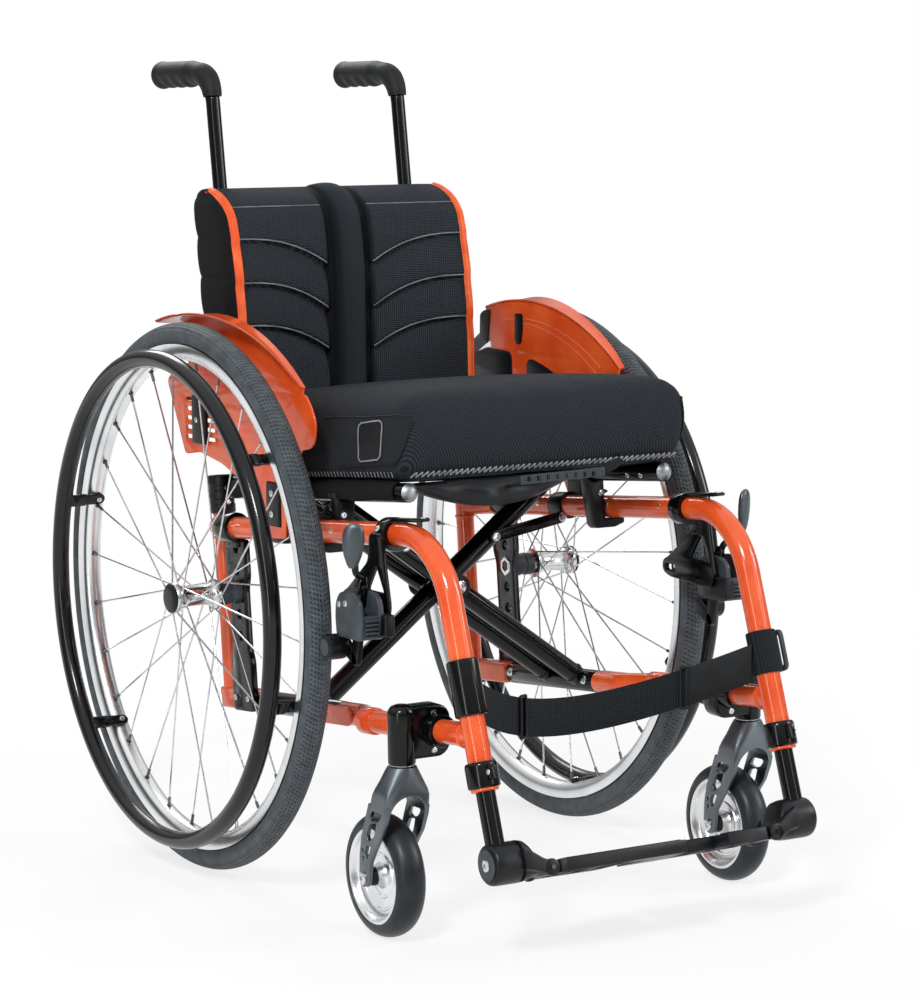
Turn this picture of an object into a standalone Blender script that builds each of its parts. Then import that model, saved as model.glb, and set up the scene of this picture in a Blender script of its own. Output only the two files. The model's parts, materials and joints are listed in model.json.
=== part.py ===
"""Folding active wheelchair with a scissor cross brace.

Each side is a welded tube frame that carries a rear wheel, a castor, a brake, a side guard,
a footplate half and a back cane. Two cross arms join the sides: arm A is one tube, and arm B is
a pair of tubes with arm A between them. Each arm turns on a hinge rod at its foot and carries a
seat tube on its head, which lies in an open saddle while the chair is unfolded.

Axes: metres, +Z up, the chair faces -Y, and +X is its user's left. The origin is on the floor,
midway between the front of the footplate and the ends of the push grips. The rails, the cross
brace and the seat lie in a frame that is pitched up towards the front, called the fold frame.
"""
import math

import bpy
import bmesh
from mathutils import Matrix, Quaternion, Vector

# Fits and facets
CLEARANCE = 0.0003
TUBE_SIDES = 12
ROUND_SIDES = 12
BOLT_SIDES = 8

# Rear wheels
WHEEL_RADIUS = 0.2975
WHEEL_CENTRE_X = 0.2313
WHEEL_STEPS = 36
TYRE_WIDTH = 0.0270
TYRE_HEIGHT = 0.0227
TYRE_BEAD_RADIUS = WHEEL_RADIUS - TYRE_HEIGHT
RIM_DEPTH = 0.0183
RIM_INNER_RADIUS = TYRE_BEAD_RADIUS - RIM_DEPTH
RIM_WIDTH = 0.0245
HANDRIM_LIFT = 0.0043
HANDRIM_RADIUS = RIM_INNER_RADIUS + HANDRIM_LIFT
HANDRIM_TUBE_RADIUS = 0.0095
HANDRIM_OFFSET = 0.0406
HANDRIM_TABS = 6
HANDRIM_TAB_WIDTH = 0.0120
HANDRIM_TAB_THICKNESS = 0.0030
HANDRIM_FIRST_TAB = math.radians(19.0)
SPOKES = 28
SPOKE_RADIUS = 0.0011
SPOKE_LEAN = math.radians(55.0)
SPOKE_SPLAY = 0.0016
FLANGE_RADIUS = 0.0225
FLANGE_THICKNESS = 0.0026
HUB_BODY_RADIUS = 0.0105
HUB_CAP_RADIUS = 0.0160
HUB_OUTER_FLANGE = 0.0165
HUB_INNER_FLANGE = 0.0245
HUB_OUTER_END = 0.0305
HUB_INNER_END = 0.0300
AXLE_PIN_RADIUS = 0.00635
AXLE_PIN_LENGTH = 0.0260

# Fold frame
PITCH = math.radians(5.0)
PIVOT_Z = 0.1759
PIVOT_X = 0.1600
PIVOT_FRONT_Y = -0.2083
PIVOT_REAR_Y = -0.0303
PIVOT_TUBE_RADIUS = 0.01225
HINGE_ROD_RADIUS = 0.0050
SEAT_TUBE_X = 0.1550
SEAT_TUBE_HEIGHT = 0.2317
SEAT_TUBE_RADIUS = 0.0100
SEAT_TUBE_FRONT_Y = -0.3600
SEAT_TUBE_REAR_Y = 0.0300
SEAT_CAP_LENGTH = 0.0045
ARM_A_Y = -0.1438
ARM_A_RADIUS = 0.0115
ARM_B_SPREAD = 0.0301
ARM_B_RADIUS = 0.0105
CENTRE_BOLT_RADIUS = 0.0040
CENTRE_DISC_RADIUS = 0.0135
CENTRE_DISC_THICKNESS = 0.0035
CENTRE_BOSS_RADIUS = 0.0130

# Side frames
RAIL_X = 0.1780
RAIL_HEIGHT = SEAT_TUBE_HEIGHT - 0.0397
RAIL_RADIUS = 0.0120
RAIL_JOG_Y = 0.0300
RAIL_JOG_BEND = 0.0600
CORNER_Y = -(WHEEL_RADIUS + 0.1556)
CORNER_BEND = 0.0850
LEG_ANGLE = math.radians(18.8)
LEG_RADIUS = 0.0122
LEG_LENGTH = RAIL_HEIGHT + 0.0517
STEP_Y = -(WHEEL_RADIUS - 0.0125)
STEP_LENGTH = 0.0340
COLLAR_RADIUS = 0.0140
COLLAR_LENGTH = 0.0220
UPRIGHT_X = 0.1570
UPRIGHT_Y = 0.0550
UPRIGHT_RADIUS = 0.0105
UPRIGHT_TOP = RAIL_HEIGHT + 0.0365
BRACKET_HEIGHT = 0.0230
BRACKET_INNER_X = 0.1475
BRACKET_OUTER_X = 0.1685
BRACKET_REAR_Y = 0.0665

# Stay links
STAY_PIVOT_X = 0.1530
STAY_PIVOT_HEIGHT = RAIL_HEIGHT - 0.0110
STAY_ARM_X = 0.0657
STAY_THICKNESS = 0.0040
STAY_RADIUS = 0.0065
STAY_GAP = 0.0005
STAY_PIN_RADIUS = 0.0030
STAY_HEAD_RADIUS = 0.0055
STAY_HEAD_THICKNESS = 0.0030
LUG_THICKNESS = 0.0055
LUG_HALF_HEIGHT = 0.0080

# Axle plate
PLATE_THICKNESS = 0.0080
PLATE_FRONT_Y = -0.0295
PLATE_REAR_Y = 0.0160
PLATE_BOTTOM = -0.0105
PLATE_TOP = RAIL_HEIGHT - 0.0135
CLAMP_WALL = 0.0045
PLATE_CLAMP_LENGTH = 0.0280
RECEIVER_RADIUS = 0.0125
PLATE_HOLE_RADIUS = 0.0055
PLATE_HOLE_SPACING = 0.0240

# Seat saddle
SADDLE_Y = -0.2210
SADDLE_LENGTH = 0.0160
SADDLE_WALL = 0.0030
SADDLE_POST_WIDTH = 0.0150
SADDLE_HOOK_THICKNESS = 0.0100
SADDLE_HOOK_REACH = 0.1900

# Back
SOCKET_LOW = RAIL_HEIGHT + 0.0140
SOCKET_HIGH = SOCKET_LOW + 0.0420
SOCKET_WALL = 0.0042
CANE_X = 0.1200
CANE_Y = 0.0925
CANE_Z = SOCKET_HIGH + 0.1720
CANE_LEAN = math.radians(8.0)
CANE_RADIUS = 0.0080
CANE_SLEEVE_RADIUS = 0.0135
CANE_SLEEVE_LOW = -0.0260
CANE_SLEEVE_HIGH = 0.0360
GRIP_Z = 0.8630
GRIP_END_Y = 0.2990
GRIP_BEND = 0.0400
GRIP_START_Y = CANE_Y + (GRIP_Z - CANE_Z) * math.tan(CANE_LEAN) + GRIP_BEND
GRIP_RADIUS = 0.0162
GRIP_NECK_RADIUS = 0.0106
GRIP_LOBES = 3
GRIP_LOBE_DEPTH = 0.0014
GRIP_FOOT_Z = GRIP_Z - 0.0390

# Footrest
HUB_BELOW_CORNER = LEG_LENGTH + 0.0785
HUB_RADIUS = 0.0205
HUB_OUTER_X = 0.1911
HUB_INNER_X = 0.1500
POST_RADIUS = 0.0096
POST_SEAT_DEPTH = 0.0120
RING_RADIUS = 0.0162
RING_UP = 0.0200
RING_DOWN = 0.0050
SLEEVE_RADIUS = 0.0160
SLEEVE_LENGTH = 0.0550
SLEEVE_BELOW_CORNER = RAIL_HEIGHT - 0.0410
LOOP_RADIUS = 0.0156
LOOP_MARGIN = 0.0020
BUCKLE_WIDTH = 0.0240
BUCKLE_SUNK = 0.0025
BUCKLE_PROUD = 0.0060
FOOT_HINGE_X = 0.1335
FOOT_HINGE_RADIUS = 0.0062
FOOT_HINGE_LENGTH = 0.0380
FOOT_PIN_RADIUS = 0.0025
FOOT_EAR_THICKNESS = 0.0055
FOOT_EAR_RADIUS = 0.0085
FOOT_NECK_RADIUS = 0.0112
FOOT_TOP = -0.0054
FOOT_THICKNESS = 0.0125
FOOT_SKIN = 0.0040
FOOT_RIB = 0.0040
FOOT_FRONT = -0.0275
FOOT_SIDE_X = 0.1235
FOOT_SIDE_REAR = 0.0420
FOOT_REAR = 0.0600
FOOT_INNER_X = 0.0340
FOOT_SPLIT = 0.0010
FOOT_SPLIT_GAP = 0.0015
FOOT_LEAD_TIP = -0.0210
FOOT_TRAIL_TIP = -0.0070
FOOT_TRAIL_STEP = 0.0720

# Castors
CASTOR_X = 0.2100
CASTOR_STEM_Y = CORNER_Y + 0.0413
CASTOR_RADIUS = 0.0625
CASTOR_TRAIL = 0.0363
CASTOR_WIDTH = 0.0320
CASTOR_RIM_RADIUS = CASTOR_RADIUS - 0.0115
CASTOR_STEPS = 22
CASTOR_GAP = 0.0035
FORK_LEG_THICKNESS = 0.0050
FORK_AXLE_RADIUS = 0.0040
FORK_NUT_RADIUS = 0.0065
FORK_NUT_THICKNESS = 0.0030
FORK_END_RADIUS = 0.0095
STEM_RADIUS = 0.0060
STEM_TOP = 0.2150
HOUSING_BOTTOM = 0.1806
HOUSING_TOP = 0.2405
HOUSING_RADIUS = 0.0140
HOUSING_CLAMP_LENGTH = 0.0235
HOUSING_CLAMP_INNER_X = 0.1605
HOUSING_CLAMP_BOTTOM = 0.1860

# Brakes, whose shoe stands just ahead of the tyre
SHOE_RADIUS = 0.0130
SHOE_CLEARANCE = 0.0055
SHOE_Y = -(WHEEL_RADIUS + SHOE_RADIUS + SHOE_CLEARANCE)
SHOE_Z = WHEEL_RADIUS - 0.0110
BRAKE_CLAMP_Y = SHOE_Y - 0.0471
BRAKE_CLAMP_LENGTH = 0.0200
BRAKE_CLAMP_WALL = 0.0050
BRAKE_STRAP_LENGTH = 0.0800
BRAKE_STRAP_WIDTH = 0.0120
BRAKE_STRAP_THICKNESS = 0.0035
BRAKE_PLATE_X = 0.1950
BRAKE_PLATE_THICKNESS = 0.0050
BRAKE_SHELL_INNER_X = 0.2080
BRAKE_OUTER_X = 0.2350
BRAKE_SLOT_INNER_X = 0.2140
BRAKE_SLOT_OUTER_X = 0.2300
BRAKE_ARM_THICKNESS = 0.0060
BRAKE_PIN_RADIUS = 0.0030
LEVER_PIVOT_Y = SHOE_Y - 0.0300
LEVER_PIVOT_Z = SHOE_Z + 0.0495
LEVER_HUB_RADIUS = 0.0080
LEVER_ROD_RADIUS = 0.0035
PADDLE_X = 0.2360
PADDLE_Y = LEVER_PIVOT_Y - 0.0225
PADDLE_LOW = LEVER_PIVOT_Z + 0.0360
PADDLE_HIGH = LEVER_PIVOT_Z + 0.0810
PADDLE_HALF_WIDTH = 0.0105
PADDLE_HALF_THICKNESS = 0.0060
SHOE_PIVOT_Y = SHOE_Y - 0.0280
SHOE_PIVOT_Z = SHOE_Z + 0.0285
SHOE_HUB_RADIUS = 0.0075
SHOE_ARM_LOW_Y = SHOE_Y - 0.0205
SHOE_ARM_LOW_Z = SHOE_Z - 0.0125
SHOE_INNER_X = 0.2200
SHOE_OUTER_X = 0.2425

# Side guards, whose edge is drawn in shares of the wheel's radius from its axle, from front to rear
GUARD_X = 0.1960
GUARD_THICKNESS = 0.0025
FENDER_GAP = 0.0055
FENDER_RADIUS = WHEEL_RADIUS + FENDER_GAP
FENDER_FLARE = 0.0040
FENDER_REAR_ANGLE = math.radians(-15.5)
FENDER_FRONT_ANGLE = math.radians(39.5)
FENDER_WIDTHS = ((-16.0, 0.0365), (-8.0, 0.0340), (0.0, 0.0290), (8.0, 0.0230), (16.0, 0.0180), (26.0, 0.0130),
                 (34.0, 0.0100), (40.0, 0.0060))
GUARD_EDGE = ((-0.675, 0.775), (-0.558, 0.763), (-0.502, 0.748), (-0.690, 0.714), (-0.745, 0.673),
              (-0.735, 0.618), (-0.705, 0.592), (-0.640, 0.583), (-0.530, 0.471), (-0.505, 0.257),
              (-0.340, 0.244), (-0.325, 0.282), (-0.274, 0.363), (-0.200, 0.426), (-0.022, 0.482), (0.148, 0.509),
              (0.275, 0.492), (0.417, 0.760), (0.353, 0.805), (0.255, 0.833))
GUARD_SLOTS = 5
GUARD_SLOT_LENGTH = 0.0700
GUARD_SLOT_HEIGHT = 0.0045
GUARD_SLOT_SPACING = 0.0103
GUARD_SLOT_Y = 0.0780
GUARD_SLOT_Z = 1.5546 * WHEEL_RADIUS
CLIP_THICKNESS = 0.0060
CLIP_WIDTH = 0.0310
CLIP_HEIGHT = 0.0540
CLIP_REAR_Y = 0.0530
HOLDER_FRONT_Y = -0.4773 * WHEEL_RADIUS
HOLDER_REAR_Y = HOLDER_FRONT_Y + 0.0300
HOLDER_OUTER_X = 0.1995
HOLDER_HEIGHT = 0.0530

# Soft goods
SLING_THICKNESS = 0.0024
SLING_FRONT_Y = -0.3450
SLING_REAR_Y = 0.0150
SLING_SAG = 0.0030
CUSHION_FRONT_Y = -0.3725
CUSHION_REAR_Y = 0.0100
CUSHION_HALF_WIDTH = 0.1720
CUSHION_THICKNESS = 0.0735
CUSHION_CROWN = 0.0060
CUSHION_BULGE = 0.0200
CUSHION_CORNER = 0.0160
BACK_LOW = 0.5030
BACK_HIGH = 0.7280
BACK_EDGE_X = 0.1460
BACK_HALF_WIDTH = 0.1660
BACK_SEAM_DEPTH = 0.0045
BACK_SPINE_PROUD = 0.0100
BACK_SPINE_X = 0.0130
BACK_PANEL_X = 0.0290
# Height, the front's y at the piped side edge, and its y beside the spine
BACK_PROFILE = ((0.500, 0.0330, 0.0490), (0.560, 0.0334, 0.0500), (0.600, 0.0353, 0.0495), (0.640, 0.0397, 0.0495),
                (0.680, 0.0476, 0.0545), (0.700, 0.0543, 0.0595), (0.730, 0.0665, 0.0675))
STRAP_HEIGHT = 0.0400
STRAP_THICKNESS = 0.0020
STRAP_END_X = 0.1608
STRAP_END_Y = CORNER_Y - 0.0329
STRAP_MID_Y = CORNER_Y + 0.0401
STRAP_RIGHT_Z = 0.2470
STRAP_LEFT_Z = 0.2550
STRAP_SAG = 0.0430

# Finishes: colour, roughness, metallic
FINISHES = {
    "orange lacquer": ("E2562A", 0.25, 0.0),
    "black lacquer": ("15171A", 0.28, 0.0),
    "black plastic": ("1B1D20", 0.50, 0.0),
    "grey casting": ("3E4246", 0.38, 0.8),
    "polished alloy": ("D4D7DA", 0.22, 1.0),
    "rubber": ("26292C", 0.75, 0.0),
    "black fabric": ("24272B", 0.90, 0.0),
}

SIDES = (("r", -1), ("l", 1))

FOOT_HUB_Y = CORNER_Y * math.cos(PITCH) + RAIL_HEIGHT * math.sin(PITCH) - HUB_BELOW_CORNER * math.sin(LEG_ANGLE)
FRONT_REACH = -(FOOT_HUB_Y + FOOT_FRONT * math.cos(LEG_ANGLE)
                + (FOOT_TOP - FOOT_THICKNESS) * math.sin(LEG_ANGLE))
AXLE_Y = 0.5 * (FRONT_REACH - GRIP_END_Y)

FOLD = Matrix.Translation((0.0, 0.0, PIVOT_Z)) @ Matrix.Rotation(-PITCH, 4, "X")


def fold(x, y, height):
    """Chair coordinates of a point of the fold frame."""
    return FOLD @ Vector((x, y, height))


def bore_radius(radius, sides=TUBE_SIDES):
    """Corner radius of a faceted bore whose flats clear a bar of this radius."""
    return (radius + CLEARANCE) / math.cos(math.pi / sides)


def turned_bore_radius(radius, sides=TUBE_SIDES):
    """The same for a lathe's bar, whose corners stand proud of its radius."""
    return bore_radius(radius / math.cos(math.pi / ROUND_SIDES), sides)


def evaluated_mesh(obj):
    bpy.context.view_layer.update()
    graph = bpy.context.evaluated_depsgraph_get()
    return bpy.data.meshes.new_from_object(obj.evaluated_get(graph))


def tidy_mesh(mesh):
    """Welds the caps, drops empty faces and turns all faces outwards."""
    work = bmesh.new()
    work.from_mesh(mesh)
    bmesh.ops.remove_doubles(work, verts=work.verts, dist=1e-6)
    bmesh.ops.recalc_face_normals(work, faces=work.faces)
    work.to_mesh(mesh)
    work.free()
    return mesh


def object_of(mesh, name="piece"):
    obj = bpy.data.objects.new(name, mesh)
    bpy.context.scene.collection.objects.link(obj)
    return obj


def object_from(work):
    bmesh.ops.recalc_face_normals(work, faces=work.faces)
    mesh = bpy.data.meshes.new("piece")
    work.to_mesh(mesh)
    work.free()
    return object_of(mesh)


def drop(obj):
    bpy.data.objects.remove(obj, do_unlink=True)


def tube(points, radius, sides=TUBE_SIDES):
    """A round bar along points. The radius is one number, or one for each point."""
    radii = radius if isinstance(radius, list) else [radius] * len(points)
    curve = bpy.data.curves.new("path", "CURVE")
    curve.dimensions = "3D"
    curve.bevel_depth = 1.0
    curve.bevel_resolution = (sides - 4) // 2
    curve.use_fill_caps = True
    line = curve.splines.new("POLY")
    line.points.add(len(points) - 1)
    for knot, point, size in zip(line.points, points, radii):
        knot.co = (*point, 1.0)
        knot.radius = size
    guide = object_of(curve)
    mesh = tidy_mesh(evaluated_mesh(guide))
    drop(guide)
    return object_of(mesh)


def bar(start, end, radius, sides=ROUND_SIDES):
    """A straight round bar from start to end."""
    start = Vector(start)
    run = Vector(end) - start
    turn = run.to_track_quat("Z", "Y").to_matrix().to_4x4()
    work = bmesh.new()
    bmesh.ops.create_cone(work, cap_ends=True, segments=sides, radius1=radius, radius2=radius, depth=run.length,
                          matrix=Matrix.Translation(start + run / 2) @ turn)
    return object_from(work)


def box(low, high, bevel=0.0):
    """A box between two corners, with its edges bevelled if asked."""
    low = Vector((min(low[0], high[0]), min(low[1], high[1]), min(low[2], high[2]))), Vector(
        (max(low[0], high[0]), max(low[1], high[1]), max(low[2], high[2])))
    low, high = low
    work = bmesh.new()
    bmesh.ops.create_cube(work, size=1.0, matrix=Matrix.Translation((low + high) / 2)
                          @ Matrix.Diagonal((*(high - low), 1.0)))
    if bevel:
        bmesh.ops.bevel(work, geom=work.edges[:], offset=bevel, segments=1, affect="EDGES")
    return object_from(work)


def prism(outline, low, high, plane, holes=()):
    """A flat outline with holes, pushed from low to high along the third axis of its plane."""
    curve = bpy.data.curves.new("outline", "CURVE")
    curve.dimensions = "2D"
    curve.fill_mode = "BOTH"
    curve.extrude = abs(high - low) / 2
    for loop in (outline, *holes):
        line = curve.splines.new("POLY")
        line.points.add(len(loop) - 1)
        line.use_cyclic_u = True
        for knot, (u, v) in zip(line.points, loop):
            knot.co = (u, v, 0.0, 1.0)
    guide = object_of(curve)
    mesh = evaluated_mesh(guide)
    drop(guide)
    middle = (low + high) / 2
    for vertex in mesh.vertices:
        u, v, w = vertex.co
        vertex.co = (w + middle, u, v) if plane == "YZ" else (u, w + middle, v)
    return object_of(tidy_mesh(mesh))


def lathe(profile, matrix, steps=ROUND_SIDES, ring=False):
    """A profile of radius and height turned about Z, with its flats at the given radii."""
    grow = 1.0 / math.cos(math.pi / steps)
    half = math.pi / steps
    area = 0.0
    for (r0, z0), (r1, z1) in zip(profile, profile[1:] + profile[:1]):
        area += r0 * z1 - r1 * z0
    if area > 0.0:
        profile = profile[::-1]
    work = bmesh.new()
    verts = [work.verts.new((r * grow * math.cos(half), r * grow * math.sin(half), z)) for r, z in profile]
    for first, second in zip(verts, verts[1:]):
        work.edges.new((first, second))
    if ring:
        work.edges.new((verts[-1], verts[0]))
    mesh = bpy.data.meshes.new("profile")
    work.to_mesh(mesh)
    work.free()
    guide = object_of(mesh)
    turn = guide.modifiers.new("turn", "SCREW")
    turn.angle = 2 * math.pi
    turn.steps = steps
    turn.render_steps = steps
    turn.use_merge_vertices = True
    turn.merge_threshold = 1e-5
    turned = evaluated_mesh(guide)
    drop(guide)
    turned.transform(matrix)
    return object_of(tidy_mesh(turned))


def loft(sections):
    """A closed solid through rings of equal count, capped at both ends."""
    work = bmesh.new()
    rings = [[work.verts.new(point) for point in section] for section in sections]
    for lower, upper in zip(rings, rings[1:]):
        for i in range(len(lower)):
            j = (i + 1) % len(lower)
            work.faces.new((lower[i], lower[j], upper[j], upper[i]))
    work.faces.new(rings[0][::-1])
    work.faces.new(rings[-1])
    return object_from(work)


def combined(body, tool, operation):
    change = body.modifiers.new(operation.lower(), "BOOLEAN")
    change.operation = operation
    change.object = tool
    mesh = evaluated_mesh(body)
    body.modifiers.clear()
    body.data = mesh
    drop(tool)
    return body


def joined(body, *others):
    for other in others:
        combined(body, other, "UNION")
    return body


def cut(body, *cutters):
    for cutter in cutters:
        combined(body, cutter, "DIFFERENCE")
    return body


def moved(obj, matrix):
    obj.data.transform(matrix)
    return obj


def arc(centre_u, centre_v, radius, start, end, steps):
    """Points of an arc, in degrees, with both ends."""
    points = []
    for i in range(steps + 1):
        angle = math.radians(start + (end - start) * i / steps)
        points.append((centre_u + radius * math.cos(angle), centre_v + radius * math.sin(angle)))
    return points


def capsule(first, second, first_radius, second_radius, steps=4):
    """Outline of two rounded ends joined by straight sides."""
    heading = math.degrees(math.atan2(second[1] - first[1], second[0] - first[0]))
    head = arc(*second, second_radius, heading - 90, heading + 90, steps)
    tail = arc(*first, first_radius, heading + 90, heading + 270, steps)
    return head + tail


def circle(centre_u, centre_v, radius, sides=BOLT_SIDES):
    return arc(centre_u, centre_v, radius, 0, 360, sides)[:-1]


def rounded(corners, radii, steps=5):
    """Points along straight runs whose inner corners are bent to the given radii."""
    path = [corners[0]]
    for before, corner, after, radius in zip(corners, corners[1:], corners[2:], radii):
        back = (before - corner).normalized()
        ahead = (after - corner).normalized()
        turn = math.pi - back.angle(ahead)
        centre = corner + (back + ahead).normalized() * (radius / math.cos(turn / 2))
        start = corner + back * radius * math.tan(turn / 2) - centre
        end = corner + ahead * radius * math.tan(turn / 2) - centre
        axis = start.cross(end).normalized()
        for i in range(steps + 1):
            path.append(centre + Quaternion(axis, turn * i / steps) @ start)
    path.append(corners[-1])
    return path


def ring_of(centre_x, centre_y, z, half_x, half_y, power, sides=TUBE_SIDES):
    """A level ring between an ellipse, power 2, and a rounded box, higher powers."""
    points = []
    for i in range(sides):
        angle = 2 * math.pi * (i + 0.5) / sides
        c, s = math.cos(angle), math.sin(angle)
        x = math.copysign(abs(c) ** (2 / power), c) * half_x
        y = math.copysign(abs(s) ** (2 / power), s) * half_y
        points.append(Vector((centre_x + x, centre_y + y, z)))
    return points


def linear(hex_colour):
    """Linear colour of an sRGB hex value."""
    channels = [int(hex_colour[i:i + 2], 16) / 255 for i in (0, 2, 4)]
    return [c / 12.92 if c <= 0.04045 else ((c + 0.055) / 1.055) ** 2.4 for c in channels] + [1.0]


def finish_material(name, finish):
    colour, roughness, metallic = FINISHES[finish]
    material = bpy.data.materials.new(f"{name} {finish}")
    material.use_nodes = True
    shader = material.node_tree.nodes["Principled BSDF"]
    shader.inputs["Base Color"].default_value = linear(colour)
    shader.inputs["Roughness"].default_value = roughness
    shader.inputs["Metallic"].default_value = metallic
    material.diffuse_color = linear(colour)
    return material


def place(name, obj, finish, origin=(0.0, 0.0, 0.0)):
    """Names a finished piece, gives it its material and puts its origin on its joint's axis."""
    origin = Vector(origin)
    obj.name = name
    obj.data.name = name
    obj.data.transform(Matrix.Translation(-origin))
    obj.data.materials.clear()
    obj.data.materials.append(finish_material(name, finish))
    obj.data.shade_smooth()
    obj.data.set_sharp_from_angle(angle=math.radians(35))
    bpy.context.scene.collection.objects.unlink(obj)
    chair_parts.objects.link(obj)
    obj.parent = chair
    obj.location = origin
    return obj


def wheel_matrix(side, x, y, z):
    """Turns a lathe's Z to the chair's outboard side."""
    return Matrix.Translation((side * x, y, z)) @ Matrix.Rotation(side * math.pi / 2, 4, "Y")


def leg_matrix(side, below):
    """Origin on the leg's axis, this far below the corner, with Z up the leg."""
    corner = fold(side * RAIL_X, CORNER_Y, RAIL_HEIGHT)
    down = Vector((0.0, -math.sin(LEG_ANGLE), -math.cos(LEG_ANGLE)))
    return Matrix.Translation(corner + down * below) @ Matrix.Rotation(-LEG_ANGLE, 4, "X")


def rail_bore(side, length_from, length_to, radius=RAIL_RADIUS):
    """A cutter along the upper rail that leaves its clamp a running gap."""
    return bar(fold(side * RAIL_X, length_from, RAIL_HEIGHT), fold(side * RAIL_X, length_to, RAIL_HEIGHT),
               bore_radius(radius, ROUND_SIDES))


def cross_bar(x_from, x_to, y, z, radius, sides=ROUND_SIDES):
    return bar((x_from, y, z), (x_to, y, z), radius, sides)


def make_side_frame(tag, side):
    """Bent rail and leg, lower tube, upright, rear bracket, hinge rod and stay lug, all welded."""
    leg_end = leg_matrix(side, LEG_LENGTH).translation
    path = rounded([fold(side * UPRIGHT_X, UPRIGHT_Y, RAIL_HEIGHT), fold(side * RAIL_X, RAIL_JOG_Y, RAIL_HEIGHT),
                    fold(side * RAIL_X, CORNER_Y, RAIL_HEIGHT), leg_end], [RAIL_JOG_BEND, CORNER_BEND], 5)
    bend = 5
    radii = [RAIL_RADIUS] * (len(path) - bend - 2)
    radii += [RAIL_RADIUS + (LEG_RADIUS - RAIL_RADIUS) * i / bend for i in range(bend + 1)] + [LEG_RADIUS]
    frame = tube(path, radii)

    leg_slope = math.tan(LEG_ANGLE - PITCH)
    leg_foot_y = CORNER_Y - RAIL_HEIGHT * leg_slope
    lower = rounded([fold(side * RAIL_X, leg_foot_y, 0), fold(side * RAIL_X, STEP_Y, 0),
                     fold(side * PIVOT_X, STEP_Y + STEP_LENGTH, 0), fold(side * PIVOT_X, PIVOT_FRONT_Y, 0)],
                    [0.030, 0.030], 3)
    collar = bar(fold(side * RAIL_X, STEP_Y - COLLAR_LENGTH, 0), fold(side * RAIL_X, STEP_Y, 0), COLLAR_RADIUS)
    upright = bar(fold(side * UPRIGHT_X, UPRIGHT_Y, 0), fold(side * UPRIGHT_X, UPRIGHT_Y, UPRIGHT_TOP),
                  UPRIGHT_RADIUS)
    bracket = moved(box((side * BRACKET_INNER_X, PIVOT_REAR_Y, -BRACKET_HEIGHT / 2),
                        (side * BRACKET_OUTER_X, BRACKET_REAR_Y, BRACKET_HEIGHT / 2), 0.003), FOLD)
    rod = bar(fold(side * PIVOT_X, PIVOT_FRONT_Y - 0.004, 0), fold(side * PIVOT_X, PIVOT_REAR_Y + 0.004, 0),
              HINGE_ROD_RADIUS, TUBE_SIDES)
    frame = joined(frame, tube(lower, RAIL_RADIUS), collar, upright, bracket, rod)

    front = stay_front(side)
    lug = moved(box((side * (STAY_PIVOT_X - STAY_RADIUS), front + STAY_THICKNESS + CLEARANCE,
                     STAY_PIVOT_HEIGHT - LUG_HALF_HEIGHT),
                    (side * (RAIL_X - RAIL_RADIUS / 2), front + STAY_THICKNESS + CLEARANCE + LUG_THICKNESS,
                     STAY_PIVOT_HEIGHT + LUG_HALF_HEIGHT), 0.0015), FOLD)
    pin = stay_bolt(side * STAY_PIVOT_X, STAY_PIVOT_HEIGHT, front, STAY_THICKNESS + 2 * CLEARANCE + 0.002)
    frame = joined(frame, joined(lug, pin))
    place(f"side_frame_{tag}", frame, "orange lacquer")


def stay_front(side):
    """Front face of the stay link, just ahead of the arm it runs to."""
    ahead = ARM_A_RADIUS if side > 0 else ARM_B_SPREAD + ARM_B_RADIUS
    return ARM_A_Y - ahead - STAY_GAP - STAY_THICKNESS


def stay_bolt(x, height, front, depth):
    """A small bolt along the fold axis with its head ahead of the link's face."""
    face = front - CLEARANCE
    shank = bar(fold(x, face - STAY_HEAD_THICKNESS / 2, height), fold(x, face + depth, height),
                STAY_PIN_RADIUS, BOLT_SIDES)
    head = bar(fold(x, face - STAY_HEAD_THICKNESS, height), fold(x, face, height), STAY_HEAD_RADIUS, BOLT_SIDES)
    return joined(shank, head)


def arm_height(x_from_pivot):
    """Height of a cross arm's centre line above its pivot, at a distance across the chair."""
    return x_from_pivot * SEAT_TUBE_HEIGHT / (PIVOT_X + SEAT_TUBE_X)


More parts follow.
